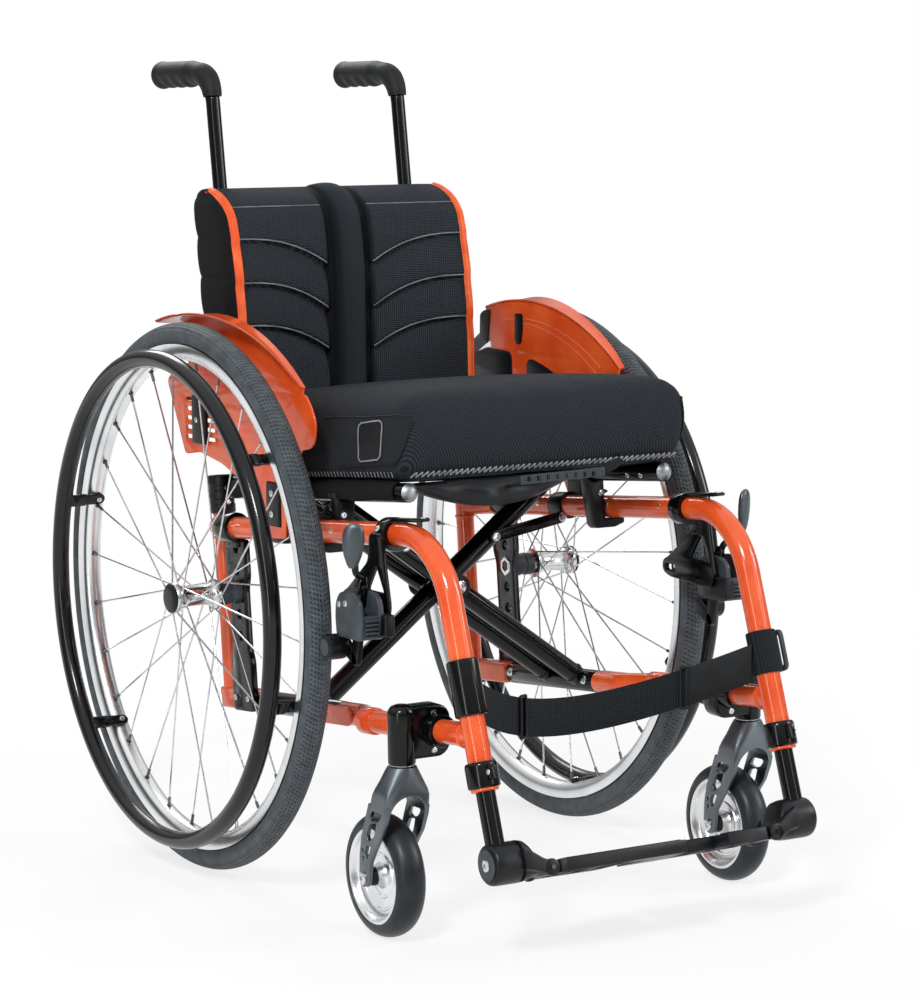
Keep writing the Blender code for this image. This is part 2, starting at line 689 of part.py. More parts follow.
def make_cross_arm(name, head_side, planes, radius):
    """Pivot tube, one or two brace tubes and the seat tube that they carry, welded."""
    pivot = bar(fold(-head_side * PIVOT_X, PIVOT_FRONT_Y + CLEARANCE, 0),
                fold(-head_side * PIVOT_X, PIVOT_REAR_Y - CLEARANCE, 0), PIVOT_TUBE_RADIUS)
    seat = bar(fold(head_side * SEAT_TUBE_X, SEAT_TUBE_FRONT_Y, SEAT_TUBE_HEIGHT),
               fold(head_side * SEAT_TUBE_X, SEAT_TUBE_REAR_Y, SEAT_TUBE_HEIGHT), SEAT_TUBE_RADIUS)
    dome = SEAT_TUBE_RADIUS * 0.88
    cap = lathe([(0.0, SEAT_CAP_LENGTH), (dome * 0.6, SEAT_CAP_LENGTH * 0.8), (dome, 0.001), (dome, -0.004),
                 (0.0, -0.004)],
                Matrix.Translation(fold(head_side * SEAT_TUBE_X, SEAT_TUBE_FRONT_Y, SEAT_TUBE_HEIGHT))
                @ Matrix.Rotation(math.pi / 2 - PITCH, 4, "X"))
    arm = joined(pivot, joined(seat, cap))
    for y in planes:
        arm = joined(arm, bar(fold(-head_side * PIVOT_X, y, 0), fold(head_side * SEAT_TUBE_X, y, SEAT_TUBE_HEIGHT),
                              radius, TUBE_SIDES))
    if len(planes) == 1:
        reach = ARM_B_SPREAD - ARM_B_RADIUS - CLEARANCE
        centre = arm_height(PIVOT_X)
        arm = joined(arm, bar(fold(0, ARM_A_Y - reach, centre), fold(0, ARM_A_Y + reach, centre),
                              CENTRE_BOSS_RADIUS))
    rod_hole = bar(fold(-head_side * PIVOT_X, PIVOT_FRONT_Y - 0.01, 0),
                   fold(-head_side * PIVOT_X, PIVOT_REAR_Y + 0.01, 0), bore_radius(HINGE_ROD_RADIUS), TUBE_SIDES)
    centre = arm_height(PIVOT_X)
    bolt_hole = bar(fold(0, ARM_A_Y - 0.06, centre), fold(0, ARM_A_Y + 0.06, centre),
                    bore_radius(CENTRE_BOLT_RADIUS), TUBE_SIDES)
    arm = cut(arm, rod_hole, bolt_hole)
    place(name, arm, "black lacquer", fold(-head_side * PIVOT_X, 0, 0) if head_side > 0 else fold(0, 0, centre))


def make_centre_bolt():
    height = arm_height(PIVOT_X)
    reach = ARM_B_SPREAD + ARM_B_RADIUS + CLEARANCE
    shank = bar(fold(0, ARM_A_Y - reach - 0.001, height), fold(0, ARM_A_Y + reach + 0.001, height),
                CENTRE_BOLT_RADIUS, TUBE_SIDES)
    front = bar(fold(0, ARM_A_Y - reach - CENTRE_DISC_THICKNESS, height), fold(0, ARM_A_Y - reach, height),
                CENTRE_DISC_RADIUS)
    rear = bar(fold(0, ARM_A_Y + reach, height), fold(0, ARM_A_Y + reach + CENTRE_DISC_THICKNESS, height),
               CENTRE_DISC_RADIUS)
    place("centre_bolt", joined(shank, front, rear), "black plastic", fold(0, ARM_A_Y, height))


def make_stay_link(tag, side):
    """Flat link from the arm's head to a lug on the upper rail."""
    front = stay_front(side)
    foot = (side * STAY_ARM_X, arm_height(PIVOT_X + STAY_ARM_X))
    pivot = (side * STAY_PIVOT_X, STAY_PIVOT_HEIGHT)
    link = prism(capsule(foot, pivot, STAY_RADIUS, STAY_RADIUS), front, front + STAY_THICKNESS, "XZ",
                 [circle(*pivot, bore_radius(STAY_PIN_RADIUS, BOLT_SIDES))])
    head = bar((foot[0], front - STAY_HEAD_THICKNESS, foot[1]), (foot[0], front + 0.001, foot[1]),
               STAY_HEAD_RADIUS, BOLT_SIDES)
    link = moved(joined(link, head), FOLD)
    place(f"stay_link_{tag}", link, "black lacquer", fold(pivot[0], front, pivot[1]))


def make_axle_plate(tag, side):
    """Plate on the rail clamp and the rear bracket, with the receiver of the quick-release pin."""
    inner = BRACKET_OUTER_X + CLEARANCE
    plate = moved(box((side * inner, PLATE_FRONT_Y, PLATE_BOTTOM),
                      (side * (inner + PLATE_THICKNESS), PLATE_REAR_Y, PLATE_TOP), 0.002), FOLD)
    middle = (PLATE_FRONT_Y + PLATE_REAR_Y) / 2
    low, high = middle - PLATE_CLAMP_LENGTH / 2, middle + PLATE_CLAMP_LENGTH / 2
    clamp = bar(fold(side * RAIL_X, low, RAIL_HEIGHT), fold(side * RAIL_X, high, RAIL_HEIGHT),
                RAIL_RADIUS + CLAMP_WALL)
    receiver_end = WHEEL_CENTRE_X - HUB_INNER_END - CLEARANCE
    receiver = cross_bar(side * (inner + 0.001), side * receiver_end, 0.0, WHEEL_RADIUS, RECEIVER_RADIUS)
    plate = joined(plate, clamp, receiver)
    cutters = [rail_bore(side, low - 0.03, high + 0.03),
               cross_bar(side * (inner - 0.01), side * (receiver_end + 0.01), 0.0, WHEEL_RADIUS,
                         turned_bore_radius(AXLE_PIN_RADIUS), TUBE_SIDES)]
    for step in (-2, -1, 1, 2):
        z = WHEEL_RADIUS + step * PLATE_HOLE_SPACING
        y = step * PLATE_HOLE_SPACING * math.tan(PITCH)
        cutters.append(cross_bar(side * (inner - 0.01), side * (inner + PLATE_THICKNESS + 0.01), y, z,
                                 PLATE_HOLE_RADIUS, BOLT_SIDES))
    place(f"axle_plate_{tag}", cut(plate, *cutters), "black plastic")


def make_seat_saddle(tag, side):
    """Open cradle under the seat tube, with a post past the rail and a hook beneath it."""
    cradle = bore_radius(SEAT_TUBE_RADIUS, ROUND_SIDES)
    outer = cradle + SADDLE_WALL
    rail_face = RAIL_X - RAIL_RADIUS - CLEARANCE
    hook_top = RAIL_HEIGHT - RAIL_RADIUS - CLEARANCE
    post_inner = rail_face - SADDLE_POST_WIDTH
    inside = arc(SEAT_TUBE_X, SEAT_TUBE_HEIGHT, cradle, 180, 360, 8)
    outline = [(SEAT_TUBE_X - outer, SEAT_TUBE_HEIGHT), *inside, (SEAT_TUBE_X + outer, SEAT_TUBE_HEIGHT),
               *arc(SEAT_TUBE_X, SEAT_TUBE_HEIGHT, outer, -20, -40, 2),
               (rail_face, RAIL_HEIGHT + RAIL_RADIUS), (rail_face, hook_top), (SADDLE_HOOK_REACH, hook_top),
               (SADDLE_HOOK_REACH, hook_top - SADDLE_HOOK_THICKNESS * 0.6),
               (RAIL_X, hook_top - SADDLE_HOOK_THICKNESS), (post_inner + 0.004, hook_top - SADDLE_HOOK_THICKNESS),
               (post_inner, hook_top - SADDLE_HOOK_THICKNESS + 0.004),
               *arc(SEAT_TUBE_X, SEAT_TUBE_HEIGHT, outer, -140, -160, 2)]
    outline = [(side * x, z) for x, z in outline]
    saddle = prism(outline, SADDLE_Y - SADDLE_LENGTH / 2, SADDLE_Y + SADDLE_LENGTH / 2, "XZ")
    place(f"seat_saddle_{tag}", moved(saddle, FOLD), "black plastic")


def cane_point(side, along):
    return Vector((side * CANE_X, CANE_Y + along * math.sin(CANE_LEAN), CANE_Z + along * math.cos(CANE_LEAN)))


def make_back(tag, side):
    """Socket block on the upright, bent cane and push grip with finger lobes."""
    cup_low, cup_high = fold(side * UPRIGHT_X, UPRIGHT_Y, SOCKET_LOW), fold(side * UPRIGHT_X, UPRIGHT_Y, SOCKET_HIGH)
    cup = bar(cup_low, cup_high, UPRIGHT_RADIUS + SOCKET_WALL)
    sleeve = bar(cane_point(side, CANE_SLEEVE_LOW), cane_point(side, CANE_SLEEVE_HIGH), CANE_SLEEVE_RADIUS)
    web = box((side * CANE_X, cup_high.y - 0.010, CANE_Z - 0.022),
              (side * UPRIGHT_X, CANE_Y + 0.004, cup_high.z - 0.003), 0.003)
    socket = joined(cup, sleeve, web)
    socket = cut(socket, bar(fold(side * UPRIGHT_X, UPRIGHT_Y, SOCKET_LOW - 0.01),
                             fold(side * UPRIGHT_X, UPRIGHT_Y, UPRIGHT_TOP + CLEARANCE),
                             bore_radius(UPRIGHT_RADIUS, ROUND_SIDES)),
                 bar(cane_point(side, 0), cane_point(side, CANE_SLEEVE_HIGH + 0.01),
                     bore_radius(CANE_RADIUS), TUBE_SIDES))
    place(f"back_socket_{tag}", socket, "black plastic")

    top_run = (GRIP_Z - CANE_Z) / math.cos(CANE_LEAN)
    corner = cane_point(side, top_run)
    end = Vector((side * CANE_X, GRIP_END_Y - 0.006, GRIP_Z))
    path = rounded([cane_point(side, CLEARANCE), corner, end], [GRIP_BEND], 3)
    place(f"back_cane_{tag}", tube(path, CANE_RADIUS), "black lacquer")

    foot_run = (GRIP_FOOT_Z - CANE_Z) / math.cos(CANE_LEAN)
    bent = rounded([cane_point(side, foot_run), corner, end], [GRIP_BEND], 3)[:-1]
    lobes = 2 * GRIP_LOBES + 1
    points, radii = list(bent), [GRIP_NECK_RADIUS] * len(bent)
    for i in range(lobes):
        y = GRIP_START_Y + (GRIP_END_Y - 0.004 - GRIP_START_Y) * i / (lobes - 1)
        points.append(Vector((side * CANE_X, y, GRIP_Z)))
        radii.append(GRIP_RADIUS - (GRIP_LOBE_DEPTH if i % 2 == 0 else 0.0))
    points.append(Vector((side * CANE_X, GRIP_END_Y, GRIP_Z)))
    radii.append(GRIP_RADIUS * 0.8)
    bore = [cane_point(side, foot_run - 0.01), *bent[1:], end + Vector((0, CLEARANCE, 0))]
    grip = cut(tube(points, radii), tube(bore, bore_radius(CANE_RADIUS)))
    place(f"push_grip_{tag}", grip, "rubber")


def make_footrest(tag, side):
    """What holds the calf strap, telescoping post with its clamp ring, cross hub with hinge ears, plate half."""
    leg_bore = bore_radius(LEG_RADIUS, TUBE_SIDES)
    around_leg = leg_matrix(side, SLEEVE_BELOW_CORNER)
    radius, half = (SLEEVE_RADIUS, SLEEVE_LENGTH / 2) if side < 0 else (LOOP_RADIUS, STRAP_HEIGHT / 2 + LOOP_MARGIN)
    sleeve = lathe([(leg_bore, -half), (radius, -half), (radius, half), (leg_bore, half)], around_leg, ROUND_SIDES,
                   ring=True)
    if side > 0:
        # The strap's end is laid round this leg and held by a buckle on its outer side.
        buckle = box((LOOP_RADIUS - BUCKLE_SUNK, -BUCKLE_WIDTH / 2, 0.002 - half),
                     (LOOP_RADIUS + BUCKLE_PROUD, BUCKLE_WIDTH / 2, half - 0.002), 0.003)
        sleeve = joined(sleeve, moved(buckle, around_leg))
    place("leg_sleeve_r" if side < 0 else "strap_loop_l", sleeve, "black plastic")

    drop_length = HUB_BELOW_CORNER - LEG_LENGTH
    post_end = -(drop_length - HUB_RADIUS + POST_SEAT_DEPTH)
    post = lathe([(0.0, -CLEARANCE), (leg_bore, -CLEARANCE), (leg_bore, RING_UP), (RING_RADIUS, RING_UP),
                  (RING_RADIUS, -RING_DOWN), (POST_RADIUS, -RING_DOWN), (POST_RADIUS, post_end), (0.0, post_end)],
                 leg_matrix(side, LEG_LENGTH), ROUND_SIDES)
    place(f"footrest_post_{tag}", post, "black lacquer")

    frame = leg_matrix(side, HUB_BELOW_CORNER)
    frame.translation.x = 0.0
    hub = bar((side * HUB_INNER_X, 0, 0), (side * HUB_OUTER_X, 0, 0), HUB_RADIUS, 24)
    hinge_n = FOOT_TOP - FOOT_THICKNESS / 2
    for sense in (-1, 1):
        r0 = sense * (FOOT_HINGE_LENGTH / 2 + CLEARANCE)
        r1 = r0 + sense * FOOT_EAR_THICKNESS
        ear = prism(capsule((side * HUB_INNER_X, hinge_n), (side * FOOT_HINGE_X, hinge_n),
                            FOOT_EAR_RADIUS, FOOT_EAR_RADIUS), min(r0, r1), max(r0, r1), "XZ")
        neck = prism(capsule((side * (HUB_INNER_X + 0.008), 0.0), (side * (HUB_INNER_X + 0.001), 0.3 * hinge_n),
                             FOOT_NECK_RADIUS, FOOT_EAR_RADIUS), min(r0, r1), max(r0, r1), "XZ")
        hub = joined(hub, ear, neck)
    reach = FOOT_HINGE_LENGTH / 2 + FOOT_EAR_THICKNESS - 0.001
    hub = joined(hub, bar((side * FOOT_HINGE_X, -reach, hinge_n), (side * FOOT_HINGE_X, reach, hinge_n),
                          FOOT_PIN_RADIUS, BOLT_SIDES))
    hub = cut(hub, bar((side * RAIL_X, 0, HUB_RADIUS - POST_SEAT_DEPTH - CLEARANCE),
                       (side * RAIL_X, 0, HUB_RADIUS + 0.02), turned_bore_radius(POST_RADIUS), TUBE_SIDES))
    place(f"foot_hub_{tag}", moved(hub, frame), "black plastic")
    make_footplate(tag, side, frame, hinge_n)


def make_footplate(tag, side, frame, hinge_n):
    """Half plate with ribs beneath, a hinge barrel, and a tongue that lies beside the other half's."""
    half = FOOT_HINGE_LENGTH / 2
    hub_side = [(FOOT_SIDE_X - 0.005, FOOT_FRONT), (FOOT_SIDE_X, FOOT_FRONT + 0.005), (FOOT_SIDE_X, -half),
                (FOOT_HINGE_X, -half), (FOOT_HINGE_X, half), (FOOT_SIDE_X, half), (FOOT_SIDE_X, FOOT_SIDE_REAR),
                (FOOT_SIDE_X - 0.005, FOOT_SIDE_REAR + 0.003)]
    if side < 0:
        outline = [(FOOT_LEAD_TIP, FOOT_FRONT), *hub_side, (FOOT_INNER_X, FOOT_REAR), (FOOT_INNER_X, FOOT_SPLIT),
                   (FOOT_LEAD_TIP, FOOT_SPLIT)]
        columns = 3
        edge = FOOT_INNER_X
    else:
        split = FOOT_SPLIT + FOOT_SPLIT_GAP
        outline = [(FOOT_TRAIL_STEP, FOOT_FRONT), *hub_side, (FOOT_INNER_X, FOOT_REAR), (FOOT_TRAIL_TIP, FOOT_REAR),
                   (FOOT_TRAIL_TIP, split), (FOOT_TRAIL_STEP, split)]
        columns = 3
        edge = FOOT_INNER_X
    bottom = FOOT_TOP - FOOT_THICKNESS
    # The outline is drawn across and rearwards, then stood level on the plate's own plane.
    plate = prism([(side * u, r) for u, r in outline], bottom, FOOT_TOP, "XZ")
    for vertex in plate.data.vertices:
        x, n, r = vertex.co
        vertex.co = (x, r, n)
    tidy_mesh(plate.data)
    barrel = bar((side * FOOT_HINGE_X, -half, hinge_n), (side * FOOT_HINGE_X, half, hinge_n), FOOT_HINGE_RADIUS,
                 TUBE_SIDES)
    plate = joined(plate, barrel)
    pitch_u = (FOOT_SIDE_X - edge - FOOT_RIB) / columns
    rear = FOOT_SIDE_REAR
    front = FOOT_SPLIT + FOOT_SPLIT_GAP
    for i in range(columns):
        u0 = edge + FOOT_RIB + i * pitch_u
        plate = cut(plate, box((side * u0, front + FOOT_RIB, bottom - 0.01),
                               (side * (u0 + pitch_u - FOOT_RIB), rear - FOOT_RIB, FOOT_TOP - FOOT_SKIN)))
    inner = FOOT_TRAIL_STEP if side > 0 else edge
    run = (FOOT_SIDE_X - inner - FOOT_RIB) / 2
    for i in range(2):
        u0 = inner + FOOT_RIB + i * run
        plate = cut(plate, box((side * u0, FOOT_FRONT + FOOT_RIB, bottom - 0.01),
                               (side * (u0 + run - FOOT_RIB), front, FOOT_TOP - FOOT_SKIN)))
    plate = cut(plate, bar((side * FOOT_HINGE_X, -half - 0.01, hinge_n), (side * FOOT_HINGE_X, half + 0.01, hinge_n),
                           bore_radius(FOOT_PIN_RADIUS, BOLT_SIDES), BOLT_SIDES))
    for sense in (-1, 1):
        # Room for the hub's ears as the half swings up.
        plate = cut(plate, bar((side * FOOT_HINGE_X, sense * half, hinge_n),
                               (side * FOOT_HINGE_X, sense * (half + 0.03), hinge_n),
                               FOOT_EAR_RADIUS + 0.001, TUBE_SIDES))
    place(f"footplate_{tag}", moved(plate, frame), "black plastic",
          frame @ Vector((side * FOOT_HINGE_X, 0, hinge_n)))


def make_castor(tag, side):
    """Housing on the lower tube, fork with pierced legs, and the wheel."""
    clamp_inner = HOUSING_CLAMP_INNER_X
    housing = lathe([(0.0, HOUSING_TOP), (HOUSING_RADIUS * 0.7, HOUSING_TOP - 0.001),
                     (HOUSING_RADIUS, HOUSING_TOP - 0.005), (HOUSING_RADIUS, HOUSING_BOTTOM + 0.002),
                     (HOUSING_RADIUS - 0.001, HOUSING_BOTTOM), (0.0, HOUSING_BOTTOM)],
                    Matrix.Translation((side * CASTOR_X, CASTOR_STEM_Y, 0)), ROUND_SIDES)
    corner = 0.0120
    outer = CASTOR_X - 0.002
    outline = (arc(clamp_inner + corner, HOUSING_CLAMP_BOTTOM + corner, corner, 180, 270, 4)
               + [(outer, HOUSING_CLAMP_BOTTOM), (outer, HOUSING_TOP - 0.003)]
               + arc(clamp_inner + corner, HOUSING_TOP - 0.003 - corner, corner, 90, 180, 4))
    clamp = prism([(side * x, z) for x, z in outline], CASTOR_STEM_Y - HOUSING_CLAMP_LENGTH / 2,
                  CASTOR_STEM_Y + HOUSING_CLAMP_LENGTH / 2, "XZ")
    housing = joined(housing, clamp)
    lower_bore = bar(fold(side * RAIL_X, CORNER_Y - 0.02, 0), fold(side * RAIL_X, STEP_Y - 0.05, 0),
                     bore_radius(RAIL_RADIUS, ROUND_SIDES))
    stem_bore = bar((side * CASTOR_X, CASTOR_STEM_Y, HOUSING_BOTTOM - 0.01),
                    (side * CASTOR_X, CASTOR_STEM_Y, STEM_TOP + CLEARANCE), bore_radius(STEM_RADIUS), TUBE_SIDES)
    place(f"castor_housing_{tag}", cut(housing, lower_bore, stem_bore), "black plastic")

    inner = CASTOR_WIDTH / 2 + CASTOR_GAP
    outer = inner + FORK_LEG_THICKNESS
    crown_top = HOUSING_BOTTOM - CLEARANCE
    x = side * CASTOR_X
    crown = loft([ring_of(x, CASTOR_STEM_Y, crown_top, 0.0140, 0.0140, 2.0),
                  ring_of(x, CASTOR_STEM_Y, crown_top - 0.010, 0.0170, 0.0155, 2.4),
                  ring_of(x, CASTOR_STEM_Y + 0.002, crown_top - 0.026, outer - 0.0015, 0.0165, 3.6),
                  ring_of(x, CASTOR_STEM_Y + 0.006, crown_top - 0.038, outer, 0.0165, 5.0)])
    arch_z = crown_top - 0.048
    crown = cut(crown, bar((x, CASTOR_STEM_Y - 0.05, arch_z), (x, CASTOR_STEM_Y + 0.06, arch_z), inner + 0.0001, 16))
    axle_y = CASTOR_STEM_Y + CASTOR_TRAIL
    top_z = crown_top - 0.030
    outline = [(CASTOR_STEM_Y - 0.0085, top_z), *arc(axle_y, CASTOR_RADIUS, FORK_END_RADIUS, 200, 380, 6),
               (CASTOR_STEM_Y + 0.0225, top_z)]
    holes = [[(CASTOR_STEM_Y - 0.0010, 0.1430), (CASTOR_STEM_Y + 0.0175, 0.1430), (CASTOR_STEM_Y + 0.0265, 0.1230),
              (CASTOR_STEM_Y + 0.0095, 0.1310)],
             [(CASTOR_STEM_Y + 0.0100, 0.1225), (CASTOR_STEM_Y + 0.0280, 0.1140), (CASTOR_STEM_Y + 0.0325, 0.0980),
              (CASTOR_STEM_Y + 0.0175, 0.1035)],
             circle(axle_y - 0.0025, CASTOR_RADIUS + 0.0225, 0.0026, 6)]
    fork = crown
    for sense in (-1, 1):
        a, b = x + sense * inner, x + sense * outer
        fork = joined(fork, prism(outline, min(a, b), max(a, b), "YZ", holes))
    nut = outer + FORK_NUT_THICKNESS
    fork = joined(fork, cross_bar(x - nut + 0.001, x + nut - 0.001, axle_y, CASTOR_RADIUS, FORK_AXLE_RADIUS,
                                  TUBE_SIDES),
                  cross_bar(x - nut, x - outer + 0.001, axle_y, CASTOR_RADIUS, FORK_NUT_RADIUS, BOLT_SIDES),
                  cross_bar(x + outer - 0.001, x + nut, axle_y, CASTOR_RADIUS, FORK_NUT_RADIUS, BOLT_SIDES),
                  bar((x, CASTOR_STEM_Y, crown_top - 0.002), (x, CASTOR_STEM_Y, STEM_TOP), STEM_RADIUS, TUBE_SIDES))
    place(f"castor_fork_{tag}", fork, "grey casting", (x, CASTOR_STEM_Y, HOUSING_BOTTOM))

    turn = wheel_matrix(side, CASTOR_X, axle_y, CASTOR_RADIUS)
    w = CASTOR_WIDTH / 2
    seat = CASTOR_RIM_RADIUS + CLEARANCE
    tyre = lathe([(seat, -w * 0.86), (CASTOR_RADIUS * 0.91, -w), (CASTOR_RADIUS, -w * 0.42),
                  (CASTOR_RADIUS, w * 0.42), (CASTOR_RADIUS * 0.91, w), (seat, w * 0.86)],
                 turn, CASTOR_STEPS, ring=True)
    place(f"castor_tyre_{tag}", tyre, "rubber", (x, axle_y, CASTOR_RADIUS))
    bore = FORK_AXLE_RADIUS + 2 * CLEARANCE
    hub_r, lip = 0.0110, CASTOR_RIM_RADIUS - 0.0050
    hub_w = inner - 2 * CLEARANCE
    rim = lathe([(bore, -hub_w), (hub_r, -hub_w), (hub_r, -0.003), (lip, -0.003), (CASTOR_RIM_RADIUS, -w * 0.84),
                 (CASTOR_RIM_RADIUS, w * 0.84), (lip, 0.003), (hub_r, 0.003), (hub_r, hub_w), (bore, hub_w)],
                turn, CASTOR_STEPS, ring=True)
    place(f"castor_rim_{tag}", rim, "polished alloy", (x, axle_y, CASTOR_RADIUS))


def make_rear_wheel(tag, side):
    """Tyre, rim, spoked hub with its quick-release pin, and the handrim on its tabs."""
    turn = wheel_matrix(side, WHEEL_CENTRE_X, 0.0, WHEEL_RADIUS)
    centre = (side * WHEEL_CENTRE_X, 0.0, WHEEL_RADIUS)
    w = TYRE_WIDTH / 2
    R = WHEEL_RADIUS
    tyre = lathe([(TYRE_BEAD_RADIUS, -w * 0.86), (R - 0.0120, -w), (R - 0.0038, -w * 0.70), (R, 0.0),
                  (R - 0.0038, w * 0.70), (R - 0.0120, w), (TYRE_BEAD_RADIUS, w * 0.86)],
                 turn, WHEEL_STEPS, ring=True)
    place(f"rear_tyre_{tag}", tyre, "rubber", centre)

    w = RIM_WIDTH / 2
    edge = TYRE_BEAD_RADIUS - CLEARANCE
    shoulder = (edge + RIM_INNER_RADIUS) / 2
    rim = lathe([(edge, -w), (edge, w), (shoulder, w), (RIM_INNER_RADIUS, w * 0.5), (RIM_INNER_RADIUS, -w * 0.5),
                 (shoulder, -w)], turn, WHEEL_STEPS, ring=True)
    place(f"rear_rim_{tag}", rim, "polished alloy", centre)

    section = arc(HANDRIM_RADIUS, HANDRIM_OFFSET, HANDRIM_TUBE_RADIUS, 0, 360, 8)[:-1]
    handrim = lathe(section, turn, WHEEL_STEPS, ring=True)
    tab_top = RIM_INNER_RADIUS - CLEARANCE
    for i in range(HANDRIM_TABS):
        angle = HANDRIM_FIRST_TAB + 2 * math.pi * i / HANDRIM_TABS
        tab = box((side * (WHEEL_CENTRE_X - 0.004), -HANDRIM_TAB_WIDTH / 2, tab_top - HANDRIM_TAB_THICKNESS),
                  (side * (WHEEL_CENTRE_X + HANDRIM_OFFSET), HANDRIM_TAB_WIDTH / 2, tab_top))
        moved(tab, Matrix.Translation((0, 0, WHEEL_RADIUS)) @ Matrix.Rotation(angle - math.pi / 2, 4, "X"))
        handrim = joined(handrim, tab)
    place(f"handrim_{tag}", handrim, "black lacquer", centre)

    half = FLANGE_THICKNESS / 2
    outer, inner = HUB_OUTER_FLANGE, -HUB_INNER_FLANGE
    pin_end = -(HUB_INNER_END + AXLE_PIN_LENGTH)
    hub = lathe([(0.0, HUB_OUTER_END), (HUB_CAP_RADIUS, HUB_OUTER_END), (HUB_CAP_RADIUS, HUB_OUTER_END - 0.004),
                 (HUB_BODY_RADIUS + 0.001, HUB_OUTER_END - 0.006), (HUB_BODY_RADIUS + 0.001, outer + half),
                 (FLANGE_RADIUS, outer + half), (FLANGE_RADIUS, outer - half), (HUB_BODY_RADIUS, outer - half),
                 (HUB_BODY_RADIUS + 0.002, inner + half), (FLANGE_RADIUS, inner + half),
                 (FLANGE_RADIUS, inner - half), (HUB_BODY_RADIUS, inner - half), (HUB_BODY_RADIUS, -HUB_INNER_END),
                 (AXLE_PIN_RADIUS, -HUB_INNER_END), (AXLE_PIN_RADIUS, pin_end), (0.0, pin_end)], turn, ROUND_SIDES)
    spoke_end = RIM_INNER_RADIUS - CLEARANCE
    first = HANDRIM_FIRST_TAB - math.radians(2.14)
    for i in range(SPOKES):
        rim_angle = first + 2 * math.pi * i / SPOKES
        lean = SPOKE_LEAN if (i // 2) % 2 else -SPOKE_LEAN
        flange = outer if i % 2 else inner
        splay = SPOKE_SPLAY if lean > 0 else -SPOKE_SPLAY
        hub_angle = rim_angle + lean
        root = FLANGE_RADIUS - 0.0025
        start = Vector((side * (WHEEL_CENTRE_X + flange + splay), root * math.cos(hub_angle),
                        WHEEL_RADIUS + root * math.sin(hub_angle)))
        end = Vector((side * (WHEEL_CENTRE_X + splay), spoke_end * math.cos(rim_angle),
                      WHEEL_RADIUS + spoke_end * math.sin(rim_angle)))
        hub = joined(hub, bar(start, end, SPOKE_RADIUS, 3))
    place(f"rear_hub_{tag}", hub, "polished alloy", centre)


